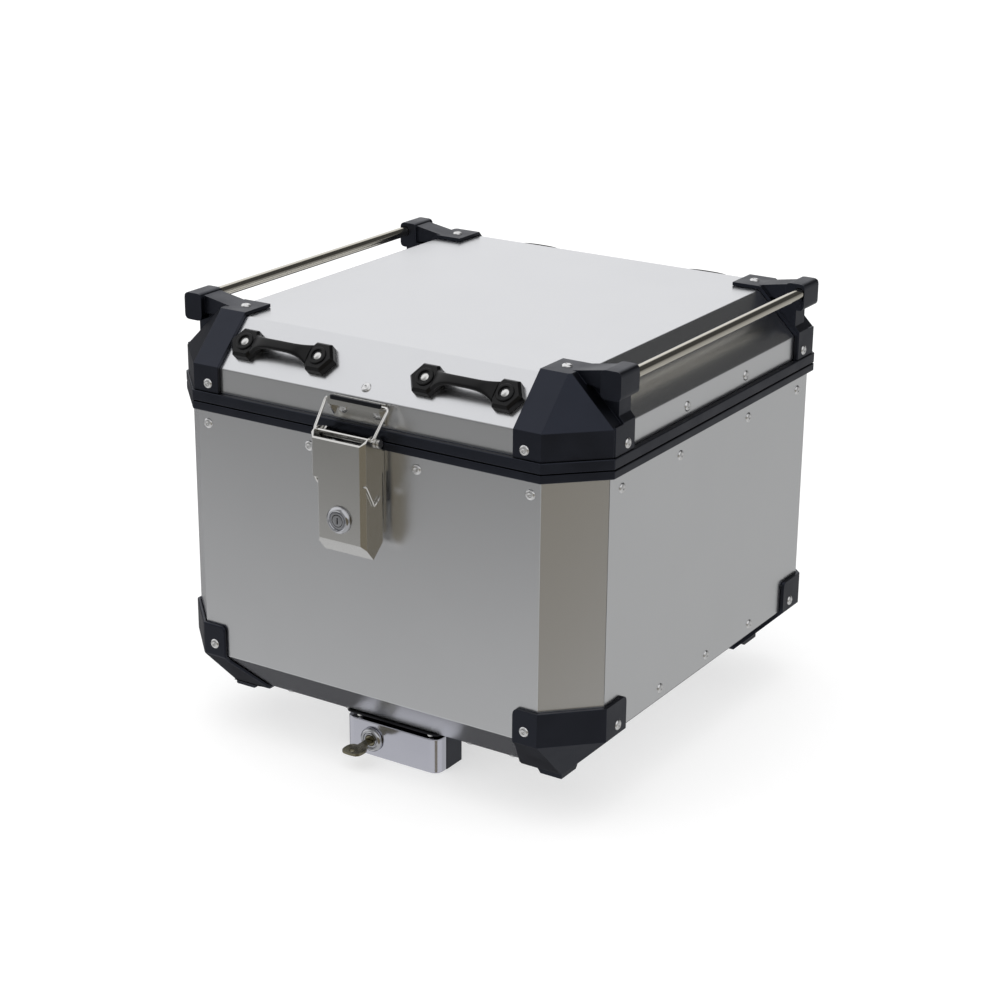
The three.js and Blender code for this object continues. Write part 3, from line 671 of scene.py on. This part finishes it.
@dataclass
class LidShell(SubAssembly):
    """The lid's skin, edge moulding, seal, protectors, rails and latch hook."""

    rail_radius: float = 5.0
    rail_ease: float = 0.6                        # of the rail's ends
    shade_strip_low: Point = (-24.5, -232.9, 307.4)       # dark strip painted as the shade in the slot at the hook's lip
    shade_strip_high: Point = (26.5, -230.2, 311.2)

    def build(self) -> None:
        """Makes the lid's pieces."""
        self.add(folded_sheet("lid_skin"), Body.LID, SHEET, "aluminium_sheet", "lid_skin")
        self.soften("lid_rim", Body.LID, MOULDING, "black_moulding", MOULDED_STRIP)
        self.soften("rim_seal", Body.LID, RUBBER, "rubber", SOFT_RUBBER)
        for corner in CORNERS:
            self.soften("lid_corner_" + corner, Body.LID, MOULDING, "black_moulding", LID_GUARD)
        for side in SIDES:
            self.rail(side)
        self.soften("lid_hook", Body.LID, LATCH_STEEL, "polished_stainless", PRESSING)
        # A dark strip painted as the shade in the slot at the top of the hook, where the bail's bar rests.
        lip = block("hook_lip_sleeve", self.shade_strip_low, self.shade_strip_high)
        round_edges(lip, PIN_END)
        self.add(lip, Body.LID, PAINTED_SHADE_STEEL, "polished_stainless")

    def rail(self, side: str) -> None:
        """Makes one rail, a round bar with eased ends.

        Args:
            side: the side of the lid that it is on.
        """
        low, high = (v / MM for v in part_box("rail_" + side))
        centre = (low + high) / 2
        length = high.y - low.y
        radius, ease = self.rail_radius, self.rail_ease
        profile = [(0, 0), (radius - ease, 0), (radius, ease), (radius, length - ease),
                   (radius - ease, length), (0, length)]
        start = (centre.x, low.y, centre.z)
        piece = turned(f"rail_{side}_piece", profile, start, Vector(Axis.Y.value), 48)
        round_edges(piece, BAR_END)
        self.add(piece, Body.LID, RAIL_STEEL, "polished_stainless", "rail_" + side)


@dataclass
class TieLoops(SubAssembly):
    """Four moulded loops on the lid's long slopes, each an arched bar between two pads."""

    labels: tuple[str, ...] = ("front_right", "front_left", "rear_right", "rear_left")
    screw_middle: float = 5.4     # of a screw above the slope, in mm
    lean: float = math.pi / 4     # of the slope from level
    pad_sides: int = 6
    pad_radius: float = 15.5
    pad_lift: float = 0.3         # of its foot above the slope
    pad_height: float = 8.0
    pad_chamfer: float = 2.4
    boss_radius: float = 8.2      # the raised ring round a screw
    boss_height: float = 1.3
    boss_root: float = 2.0        # how far the ring reaches into the pad
    boss_chamfer: float = 0.6
    boss_ease: float = 0.4
    hole_radius: float = 5.4
    bar_reach: float = 9.0        # from a screw to the bar's end
    bar_rise: float = 8.0
    bar_foot: float = 4.4         # height of the bar's middle at its ends
    bar_droop: float = 0.12       # share of the rise lost towards the ends
    bar_middle: tuple[float, float] = (4.6, 2.5)  # half width and half thickness halfway
    bar_flare: tuple[float, float] = (5.4, 1.9)   # what both gain at the ends
    bar_hold: int = 4             # power that keeps the flare close to the ends
    bar_square: float = 0.6       # power that squares the bar's oval section
    bar_sections: int = 29
    bar_steps: int = 24

    def build(self) -> None:
        """Makes the loops and their screws."""
        for label in self.labels:
            self.loop(label)
            for end in ("outer", "inner"):
                self.soften(f"tie_loop_screw_{label}_{end}", Body.LID, ZINC, "zinc_steel", SCREW_HEAD)

    def loop(self, label: str) -> None:
        """Makes one loop where the frame has it.

        Args:
            label: the loop's place on the lid.
        """
        ends = []
        for end in ("outer", "inner"):
            low, high = (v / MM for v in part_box(f"tie_loop_screw_{label}_{end}"))
            ends.append((low + high) / 2)
        side = math.copysign(1.0, ends[0].y)
        out = Vector((0, side, 1)).normalized()
        seat = (ends[0] + ends[1]) / 2 - out * self.screw_middle
        half = (ends[0] - ends[1]).length / 2
        bm = bmesh.new()
        for way in (-1, 1):
            self.pad(bm, way * half)
        self.bar(bm, half - self.bar_reach)
        place = Matrix.Translation(seat) @ Matrix.Rotation(-side * self.lean, 4, "X")
        bmesh.ops.transform(bm, matrix=Matrix.Scale(MM, 4) @ place, verts=bm.verts)
        bmesh.ops.recalc_face_normals(bm, faces=bm.faces)
        piece = as_object(bm, f"tie_loop_{label}_piece")
        round_edges(piece, LOOP_EDGE)
        self.add(piece, Body.LID, LOOP_PLASTIC, "black_moulding", f"tie_loop_{label}")

    def pad(self, bm: bmesh.types.BMesh, x: float) -> None:
        """Adds a six-sided pad with a chamfered rim and a raised ring round its screw.

        Args:
            bm: the mesh that takes the pad.
            x: the screw's place along the loop.
        """
        top, crown = self.pad_height, self.pad_radius - self.pad_chamfer
        outline = [(self.pad_radius, self.pad_lift), (self.pad_radius, top - self.pad_chamfer), (crown, top)]
        levels = [self.ring(bm, x, radius, height, self.pad_sides) for radius, height in outline]
        bm.faces.new(levels[0])
        for lower, upper in zip(levels, levels[1:]):
            self.join(bm, lower, upper)
        bm.faces.new(levels[-1])
        root, boss_top, ease = top - self.boss_root, top + self.boss_height, self.boss_ease
        profile = [
            (self.hole_radius, root), (self.boss_radius, root), (self.boss_radius, boss_top - ease),
            (self.boss_radius - self.boss_chamfer, boss_top),
            (self.hole_radius + self.boss_chamfer / 2, boss_top), (self.hole_radius, boss_top - ease)]
        levels = [self.ring(bm, x, radius, height, self.bar_steps) for radius, height in profile]
        for lower, upper in zip(levels, [*levels[1:], levels[0]]):
            self.join(bm, lower, upper)

    def bar(self, bm: bmesh.types.BMesh, reach: float) -> None:
        """Adds the arched bar, which broadens and thickens towards the pads.

        Args:
            bm: the mesh that takes the bar.
            reach: half of the bar's length.
        """
        levels = []
        for i in range(self.bar_sections):
            u = 2 * i / (self.bar_sections - 1) - 1
            near = abs(u) ** self.bar_hold
            middle = self.bar_foot + self.bar_rise * (1 - near) * (1 - self.bar_droop * u * u)
            broad, thick = (m + f * near for m, f in zip(self.bar_middle, self.bar_flare))
            levels.append(self.oval(bm, Vector((u * reach, 0, middle)), broad, thick))
        bm.faces.new(levels[0])
        for lower, upper in zip(levels, levels[1:]):
            self.join(bm, lower, upper)
        bm.faces.new(levels[-1])

    def oval(self, bm: bmesh.types.BMesh, middle: Vector, broad: float, thick: float) -> Ring:
        """Adds one squared oval section of the bar.

        Args:
            bm: the mesh that takes the section.
            middle: the section's middle.
            broad: its half width.
            thick: its half thickness.

        Returns:
            The section's corners.
        """
        corners = []
        for k in range(self.bar_steps):
            angle = math.tau * k / self.bar_steps
            c, d = (math.copysign(abs(v) ** self.bar_square, v) for v in (math.cos(angle), math.sin(angle)))
            corners.append(bm.verts.new(middle + Vector((0, c * broad, d * thick))))
        return corners

    @staticmethod
    def ring(bm: bmesh.types.BMesh, x: float, radius: float, height: float, steps: int) -> Ring:
        """Adds a ring of corners round a screw."""
        angles = [math.tau * i / steps for i in range(steps)]
        return [bm.verts.new((x + radius * math.cos(a), radius * math.sin(a), height)) for a in angles]

    @staticmethod
    def join(bm: bmesh.types.BMesh, lower: Ring, upper: Ring) -> None:
        """Adds the faces between two rings.

        Args:
            bm: the mesh that takes the faces.
            lower: one ring's corners.
            upper: the other's.
        """
        for i in range(len(lower)):
            j = (i + 1) % len(lower)
            bm.faces.new((lower[i], lower[j], upper[j], upper[i]))


@dataclass
class Hinges(SubAssembly):
    """Two leaf hinges on the rear."""

    def build(self) -> None:
        """Makes the leaves and pins."""
        for side in SIDES:
            self.soften("hinge_body_leaf_" + side, Body.ROOT, LATCH_STEEL, "brushed_stainless", PRESSING)
            self.soften("hinge_lid_leaf_" + side, Body.LID, LATCH_STEEL, "brushed_stainless", PRESSING)
            self.soften("hinge_pin_" + side, Body.ROOT, ZINC, "zinc_steel", PRESSING)


# A lock's face from its rim inwards: inset from the rim and height above its seat, in mm. A domed
# ring comes first, then a groove, then a flat disc.
LOCK_FACE = (
    (0.0, 0.0), (0.0, 1.0), (0.5, 2.2), (1.5, 3.3), (2.6, 3.8), (3.6, 3.3), (4.3, 2.0), (4.9, 2.0),
    (5.2, 3.0))
LOCK_HEAD = max(height for _, height in LOCK_FACE)


def lock_barrel(name: str, node: str, core_radius: float = 5.3,
                barrel_radius: float = 8.0) -> bpy.types.Object:
    """A lock's barrel: a tube behind a domed ring, a groove and a raised disc.

    Args:
        name: the piece's name.
        node: the frame node that gives its place and size.
        core_radius: radius of its bore.
        barrel_radius: radius of the tube.

    Returns:
        The barrel.
    """
    low, high = (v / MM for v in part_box(node))
    middle = (low + high) / 2
    rim = (high.x - low.x) / 2
    seat = high.y - low.y - LOCK_HEAD
    lip, lip_ease = LOCK_FACE[-1][1], 0.2
    face = [(rim - inset, seat + height) for inset, height in LOCK_FACE]
    profile = [
        (core_radius, 0), (barrel_radius, 0), (barrel_radius, seat), *face,
        (core_radius + lip_ease, seat + lip), (core_radius, seat + lip - 2 * lip_ease), (core_radius, 0)]
    piece = turned(name, profile, (middle.x, high.y, middle.z), -Vector(Axis.Y.value), 64)
    shade_evenly(piece, 30.0)
    return piece


@dataclass
class Latch(SubAssembly):
    """The over-centre latch: base, pin, lever, bail, spring and lock."""

    bail_radius: float = 1.5
    bail_eye: tuple[float, float] = (-244.0, 283.0)       # y and z where the bail turns
    bail_top: tuple[float, float] = (-228.0, 307.0)       # y and z where it rests in the hook
    bail_ends: tuple[float, float] = (-32.6, 27.1)        # x of its two eyes
    bail_shoulder: float = 31.6
    bail_bend: float = 3.0
    spring_radius: float = 0.7
    spring_bend: float = 1.4
    spring_out: float = 26.3
    spring_path: tuple[tuple[float, float], ...] = ((-233.3, 232.0), (-241.4, 225.4), (-252.2, 245.0))

    def build(self) -> None:
        """Makes the latch's pieces."""
        self.soften("latch_base", Body.ROOT, LATCH_STEEL, "polished_stainless", PRESSING)
        self.soften("latch_pivot_pin", Body.ROOT, ZINC, "zinc_steel", PIN_END)
        self.soften("latch_lever", Body.LEVER, LATCH_STEEL, "polished_stainless", LEVER_FOLD)
        barrel = lock_barrel("latch_lock_barrel_piece", "latch_lock_barrel")
        self.add(barrel, Body.LEVER, LOCK_CHROME, "satin_chrome", "latch_lock_barrel")
        self.soften("latch_lock_core", Body.LATCH_CORE, LOCK_CHROME, "brass", SMALL_BRASS)
        self.wires()

    def wires(self) -> None:
        """Makes the bail and the spring."""
        (left, right), eye, top = self.bail_ends, self.bail_eye, self.bail_top
        bail = wire("latch_bail_piece", [
            (left, *eye), (-self.bail_shoulder, *top), (self.bail_shoulder, *top), (right, *eye)],
            self.bail_radius, self.bail_bend, closed=True)
        self.add(bail, Body.BAIL, WIRE_STEEL, "polished_stainless", "latch_bail")
        right_tail = [(self.spring_out, *place) for place in self.spring_path]
        left_tail = [(-self.spring_out, *place) for place in self.spring_path]
        spring = wire("latch_spring_piece", [*left_tail, *reversed(right_tail)], self.spring_radius,
                      self.spring_bend, sides=12)
        self.add(spring, Body.LEVER, WIRE_STEEL, "zinc_steel", "latch_spring")


@dataclass
class Release(SubAssembly):
    """The keyed release under the front edge."""

    screw_places: tuple[float, ...] = (-36.0, 40.0)       # x of the two screws above the cover
    screw_depth: float = -180.5                           # and their y
    screw_head: tuple[tuple[float, float], ...] = ((0, 0), (2.9, 0), (2.9, 1.4), (2.2, 2.3), (0, 2.8))

    def build(self) -> None:
        """Makes the release's pieces."""
        # The release plate is painted dark to stand for the shade in the gap above the cover.
        self.soften("release_plate", Body.ROOT, PAINTED_SHADE_STEEL, "polished_stainless", THICK_PLATE)
        self.soften("release_cover", Body.ROOT, CHROME, "satin_chrome", CASTING)
        self.soften("release_block", Body.ROOT, MOULDING, "black_moulding", BLOCK_EDGE)
        barrel = lock_barrel("release_lock_barrel_piece", "release_lock_barrel")
        self.add(barrel, Body.ROOT, LOCK_CHROME, "satin_chrome", "release_lock_barrel")
        self.soften("release_lock_core", Body.RELEASE_CORE, BRASS, "brass", SMALL_BRASS)
        self.soften("release_key", Body.KEY, BRASS, "zinc_steel", PRESSING)
        self.soften("release_bolt", Body.BOLT, ZINC, "zinc_steel", CUT_STEEL)
        for side in SIDES:
            self.soften("rack_hook_" + side, Body.ROOT, ZINC, "zinc_steel", CUT_STEEL)
        self.screws()

    def screws(self) -> None:
        """Makes the two round-headed screws that hold the cover to the plate."""
        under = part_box("release_plate")[0].z / MM
        down = -Vector(Axis.Z.value)
        for i, x in enumerate(self.screw_places):
            start = (x, self.screw_depth, under)
            screw = turned(f"release_screw_{i + 1}", self.screw_head, start, down, 24)
            shade_evenly(screw, 50.0)
            self.add(screw, Body.ROOT, ZINC, "zinc_steel")


# ---- Rivets -------------------------------------------------------------------------------------


@dataclass
class Rivets(SubAssembly):
    """Every rivet head on the sheets and mouldings, one mesh for each body. All sizes are in mm."""

    head_radius: float = 4.6
    dome: float = 1.7
    dimple: float = 1.3
    seed: int = 7
    half_width: float = 215.0
    half_depth: float = 222.0
    guard: float = 3.5                                        # thickness of a protector
    front_row: tuple[float, ...] = (-165, -55, 55, 165)       # x along the front and rear
    front_row_height: float = 258.0
    side_row: tuple[float, ...] = (-162, -63, 63, 162)        # y along a side's top edge
    side_row_height: float = 256.0
    low_row: tuple[float, ...] = (-85, 0, 85)                 # y along a side's bend
    low_row_height: float = 49.5
    base_guard_front: tuple[float, float] = (164.0, 50.5)     # x and height on the front and rear
    base_guard_side: tuple[float, float] = (164.0, 47.0)      # y and height on the sides
    under_row: tuple[float, ...] = (-114, -49, 81, 125)       # x along the floor's edges
    under_depth: float = 178.0
    slope_rivet: tuple[float, float] = (215.0, 317.0)         # y and height in the middle of a slope
    band_row: tuple[float, ...] = (-54, 54)                   # y along the lid's side bands
    band_height: float = 297.0
    lid_guard_front: tuple[float, float] = (161.0, 295.5)
    lid_guard_side: tuple[float, float] = (162.0, 295.0)
    lid_guard_bulge: float = 0.7
    lid_tab: tuple[float, float, float] = (164.0, 167.0, 348.0)
    hook_rivet: tuple[float, float] = (17.5, 299.0)           # x and height on the latch's hook
    hook_thickness: float = 1.8

    def head(self) -> bpy.types.Object:
        """Makes the head that is repeated: a low dome with the mandrel's dimple in its middle.

        Returns:
            The head, on its own z axis.
        """
        r, h, d = self.head_radius, self.dome, self.dimple
        # From the dimple's floor over its lip and down the dome, as shares of the three sizes.
        profile = [
            (0, h * 0.62), (d * 0.7, h * 0.6), (d, h * 0.98), (r * 0.55, h * 0.93),
            (r * 0.8, h * 0.68), (r * 0.95, h * 0.35), (r, 0.0), (r, -0.3)]
        piece = turned("rivet_head", profile, (0, 0, 0), Vector(Axis.Z.value), 24)
        for polygon in piece.data.polygons:
            polygon.use_smooth = True
        return piece

    def body_places(self) -> list[tuple[Point, Point]]:
        """Lists the body's rivets.

        Returns:
            Where each one sits and which way it faces.
        """
        w, d, g = self.half_width, self.half_depth, self.guard
        front_x, front_z = self.base_guard_front
        side_y, side_z = self.base_guard_side
        places = []
        for x in self.front_row:
            places += [((x, end * d, self.front_row_height), (0, end, 0)) for end in (-1, 1)]
        for side in (-1, 1):
            places += [((side * w, y, self.side_row_height), (side, 0, 0)) for y in self.side_row]
            places += [((side * w, y, self.low_row_height), (side, 0, 0)) for y in self.low_row]
            for end in (-1, 1):
                places.append(((side * front_x, end * (d + g), front_z), (0, end, 0)))
                places.append(((side * (w + g), end * side_y, side_z), (side, 0, 0)))
        for x in self.under_row:
            places += [((x, end * self.under_depth, 0), (0, 0, -1)) for end in (-1, 1)]
        return places

    def lid_places(self) -> list[tuple[Point, Point]]:
        """Lists the lid's rivets.

        Returns:
            Where each one sits and which way it faces.
        """
        w, d, g = self.half_width, self.half_depth, self.guard
        slope = math.sqrt(0.5)
        slope_y, slope_z = self.slope_rivet
        front_x, front_z = self.lid_guard_front
        side_y, side_z = self.lid_guard_side
        tab_x, tab_y, tab_z = self.lid_tab
        hook_x, hook_z = self.hook_rivet
        places = [((0, end * slope_y, slope_z), (0, end * slope, slope)) for end in (-1, 1)]
        for side in (-1, 1):
            places += [((side * w, y, self.band_height), (side, 0, 0)) for y in self.band_row]
            for end in (-1, 1):
                places.append(((side * front_x, end * (d + g), front_z), (0, end, 0)))
                places.append(((side * (w + g + self.lid_guard_bulge), end * side_y, side_z), (side, 0, 0)))
                places.append(((side * tab_x, end * tab_y, tab_z + g), (0, 0, 1)))
            places.append(((side * hook_x, -d - self.hook_thickness, hook_z), (0, -1, 0)))
        return places

    def build(self) -> None:
        """Scatters the heads on their places."""
        head = self.head()
        for body, places in ((Body.ROOT, self.body_places()), (Body.LID, self.lid_places())):
            piece = repeat_on(f"rivets_{body.value}", head, places, RIVET, self.seed)
            self.add(piece, body, RIVET, "aluminium_sheet")
        bpy.data.objects.remove(head)


def repeat_tree(head: bpy.types.Object, finish: Finish) -> tuple[bpy.types.NodeTree, dict[str, str]]:
    """Builds the tree that puts one head on every point and faces it outwards.

    Args:
        head: the object that is repeated.
        finish: the material that the result takes.

    Returns:
        The tree, and the identifier of each of its inputs by name.
    """
    tree = bpy.data.node_groups.new("heads_on_points", "GeometryNodeTree")
    sockets = tree.interface
    sockets.new_socket("Geometry", in_out="INPUT", socket_type="NodeSocketGeometry")
    ids = {}
    for name, kind in (("Head", "NodeSocketObject"), ("Size", "NodeSocketFloat"), ("Seed", "NodeSocketInt"),
                       ("Finish", "NodeSocketMaterial")):
        ids[name] = sockets.new_socket(name, in_out="INPUT", socket_type=kind).identifier
    sockets.new_socket("Geometry", in_out="OUTPUT", socket_type="NodeSocketGeometry")
    given = add_node(tree, "NodeGroupInput").outputs
    facing = add_node(tree, "GeometryNodeInputNamedAttribute", {"Name": "facing"}, data_type="FLOAT_VECTOR")
    aligned = add_node(tree, "FunctionNodeAlignRotationToVector", {"Vector": facing.outputs[0]}, axis="Z")
    spin = add_node(tree, "FunctionNodeRandomValue", {"Max": (0.0, 0.0, math.tau), "Seed": given["Seed"]},
                    data_type="FLOAT_VECTOR")
    turned_about = add_node(tree, "FunctionNodeRotateRotation", {
        0: aligned.outputs[0], 1: spin.outputs[0]}, rotation_space="LOCAL")
    shape = add_node(tree, "GeometryNodeObjectInfo", {"Object": given["Head"]})
    spread = add_node(tree, "GeometryNodeInstanceOnPoints", {
        "Points": given["Geometry"], "Instance": shape.outputs["Geometry"],
        "Rotation": turned_about.outputs[0], "Scale": given["Size"]})
    real = add_node(tree, "GeometryNodeRealizeInstances", {"Geometry": spread.outputs[0]})
    dressed = add_node(tree, "GeometryNodeSetMaterial", {
        "Geometry": real.outputs[0], "Material": given["Finish"]})
    add_node(tree, "NodeGroupOutput", {"Geometry": dressed.outputs[0]})
    return tree, ids


def repeat_on(name: str, head: bpy.types.Object, places: Sequence[tuple[Point, Point]], finish: Finish,
              seed: int) -> bpy.types.Object:
    """Repeats a head on every place, as one plain mesh.

    Args:
        name: the piece's name.
        head: the object that is repeated.
        places: position in mm and facing direction of each.
        finish: the material that the result takes.
        seed: the seed of the heads' random turns.

    Returns:
        The heads as one mesh.
    """
    mesh = bpy.data.meshes.new(name)
    mesh.from_pydata([Vector(place) * MM for place, _ in places], [], [])
    facing = mesh.attributes.new("facing", "FLOAT_VECTOR", "POINT")
    facing.data.foreach_set("vector", [c for _, direction in places for c in direction])
    piece = bpy.data.objects.new(name, mesh)
    bpy.context.scene.collection.objects.link(piece)
    tree, ids = repeat_tree(head, finish)
    modifier = piece.modifiers.new("heads", "NODES")
    modifier.node_group = tree
    modifier[ids["Head"]] = head
    modifier[ids["Size"]] = 1.0
    modifier[ids["Seed"]] = seed
    modifier[ids["Finish"]] = finish.material()
    settle(piece)
    return piece


# ---- Studio -------------------------------------------------------------------------------------


@dataclass(frozen=True)
class Glow:
    """A soft patch of the studio round the case, by direction."""

    azimuth: float        # degrees, 0 towards +Y and 90 towards +X
    elevation: float
    inner: float          # degrees from its middle within which it is full
    outer: float
    colour: tuple[float, float, float]

    def direction(self) -> Vector:
        """The direction of the patch's middle."""
        a, e = math.radians(self.azimuth), math.radians(self.elevation)
        return Vector((math.sin(a) * math.cos(e), math.cos(a) * math.cos(e), math.sin(e)))


@dataclass
class Studio:
    """A plain pale floor, a soft room and the camera."""

    camera_place: Point = (1.0522, -1.6607, 0.8656)
    camera_azimuth: float = 32.476
    camera_elevation: float = 19.912
    camera_roll: float = 0.527
    lens: float = 81.19
    room: tuple[float, float, float] = (0.32, 0.32, 0.32)
    glows: tuple[Glow, ...] = (
        Glow(0, -90, 68, 75, (0.56, 0.56, 0.56)),              # the table
        Glow(-70, 38, 46, 60, (0.90, 0.90, 0.91)),             # the main soft box
        Glow(115, 48, 30, 48, (0.80, 0.80, 0.81)),             # the fill on the other side
        Glow(24, 34, 22, 34, (0.06, 0.06, 0.06)),              # a dark card over the right slope
        Glow(32, -30, 18, 26, (0.46, 0.46, 0.455)),            # the table's far side, in less light
        Glow(136, -8, 22, 28, (0.18, 0.158, 0.115)),           # a warm wall on the near side
        Glow(-150, -6, 13, 19, (0.13, 0.13, 0.125)),           # the dark edge of the table
        Glow(-72, -4, 16, 27, (0.10, 0.10, 0.105)),            # the dark gap under the soft box
        Glow(-40, -50, 24, 32, (0.035, 0.035, 0.04)),          # the shade under the table
        Glow(-104, -62, 11, 20, (0.78, 0.78, 0.78)),           # light caught by the table's near edge
    )
    floor_size: float = 14.0
    floor_glow: float = 0.56
    lamp_spread: float = 60.0     # degrees across
    lamp_strength: float = 0.6
    lamp_way: Point = (0.25, 0.2, -1.0)

    def camera(self) -> None:
        """Makes the camera and sets it as the scene's."""
        data = bpy.data.cameras.new("camera")
        data.lens = self.lens
        data.sensor_width = 36.0
        data.clip_end = 100.0
        camera = bpy.data.objects.new("camera", data)
        bpy.context.scene.collection.objects.link(camera)
        turn = (Matrix.Rotation(math.radians(self.camera_azimuth), 4, "Z")
                @ Matrix.Rotation(math.radians(90 - self.camera_elevation), 4, "X")
                @ Matrix.Rotation(math.radians(self.camera_roll), 4, "Z"))
        camera.matrix_world = Matrix.Translation(self.camera_place) @ turn
        bpy.context.scene.camera = camera

    def surroundings(self) -> None:
        """Makes the room that the metal mirrors.

        The camera sees it as plain white, and so do matt surfaces, which evens the floor.
        """
        world = bpy.data.worlds.new("studio")
        world.use_nodes = True
        bpy.context.scene.world = world
        tree = world.node_tree
        tree.nodes.clear()
        way = add_node(tree, "ShaderNodeTexCoord").outputs["Generated"]
        colour = (*self.room, 1.0)
        for glow in self.glows:
            dot = add_node(tree, "ShaderNodeVectorMath", {
                0: way, 1: glow.direction()}, operation="DOT_PRODUCT")
            share = add_node(tree, "ShaderNodeMapRange", {
                "Value": dot.outputs["Value"], "From Min": math.cos(math.radians(glow.outer)),
                "From Max": math.cos(math.radians(glow.inner))}, interpolation_type="SMOOTHSTEP")
            mix = add_node(tree, "ShaderNodeMix", {
                "Factor": share.outputs[0], 6: colour, 7: (*glow.colour, 1.0)}, data_type="RGBA")
            colour = mix.outputs[2]
        room = add_node(tree, "ShaderNodeBackground", {"Color": colour, "Strength": 1.0})
        plain = add_node(tree, "ShaderNodeBackground", {"Color": (1.0, 1.0, 1.0, 1.0), "Strength": 1.0})
        path = add_node(tree, "ShaderNodeLightPath")
        white = add_node(tree, "ShaderNodeMath", {
            0: path.outputs["Is Camera Ray"], 1: path.outputs["Is Diffuse Ray"]}, operation="MAXIMUM")
        both = add_node(tree, "ShaderNodeMixShader", {
            0: white.outputs[0], 1: room.outputs[0], 2: plain.outputs[0]})
        add_node(tree, "ShaderNodeOutputWorld", {"Surface": both.outputs[0]})
        world.cycles.sampling_method = "NONE"

    def floor(self) -> None:
        """Makes the floor just under the case's lowest point."""
        bm = bmesh.new()
        bmesh.ops.create_grid(bm, x_segments=1, y_segments=1, size=self.floor_size / 2)
        bmesh.ops.translate(bm, vec=(0, 0, CAD_BOX[0][2] - FLOOR_GAP), verts=bm.verts)
        floor = as_object(bm, "floor")
        material, _, shader = PAPER.start()
        shader.inputs["Specular IOR Level"].default_value = 0.0
        shader.inputs["Emission Color"].default_value = linear("#ffffff")
        shader.inputs["Emission Strength"].default_value = self.floor_glow
        floor.data.materials.append(material)
        floor.visible_glossy = False

    def lights(self) -> None:
        """Adds one wide soft lamp overhead, which lifts the floor and shapes the mouldings."""
        data = bpy.data.lights.new("overhead", "SUN")
        data.angle = math.radians(self.lamp_spread)
        data.energy = self.lamp_strength
        lamp = bpy.data.objects.new("overhead", data)
        lamp.rotation_euler = Vector(self.lamp_way).to_track_quat("-Z", "Y").to_euler()
        lamp.visible_glossy = False
        lamp.visible_camera = False
        bpy.context.scene.collection.objects.link(lamp)

    def build(self) -> None:
        """Makes the whole studio."""
        self.camera()
        self.surroundings()
        self.floor()
        self.lights()
        bpy.context.scene.view_settings.view_transform = "Standard"


def main() -> None:
    """Builds the studio and every sub-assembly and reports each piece."""
    logging.basicConfig(level=logging.INFO, format="%(name)s: %(message)s")
    Studio().build()
    for group in (SheetBox(), LidShell(), TieLoops(), Hinges(), Latch(), Release(), Rivets()):
        group.build()
        group.dress()


if __name__ == "__main__":
    main()
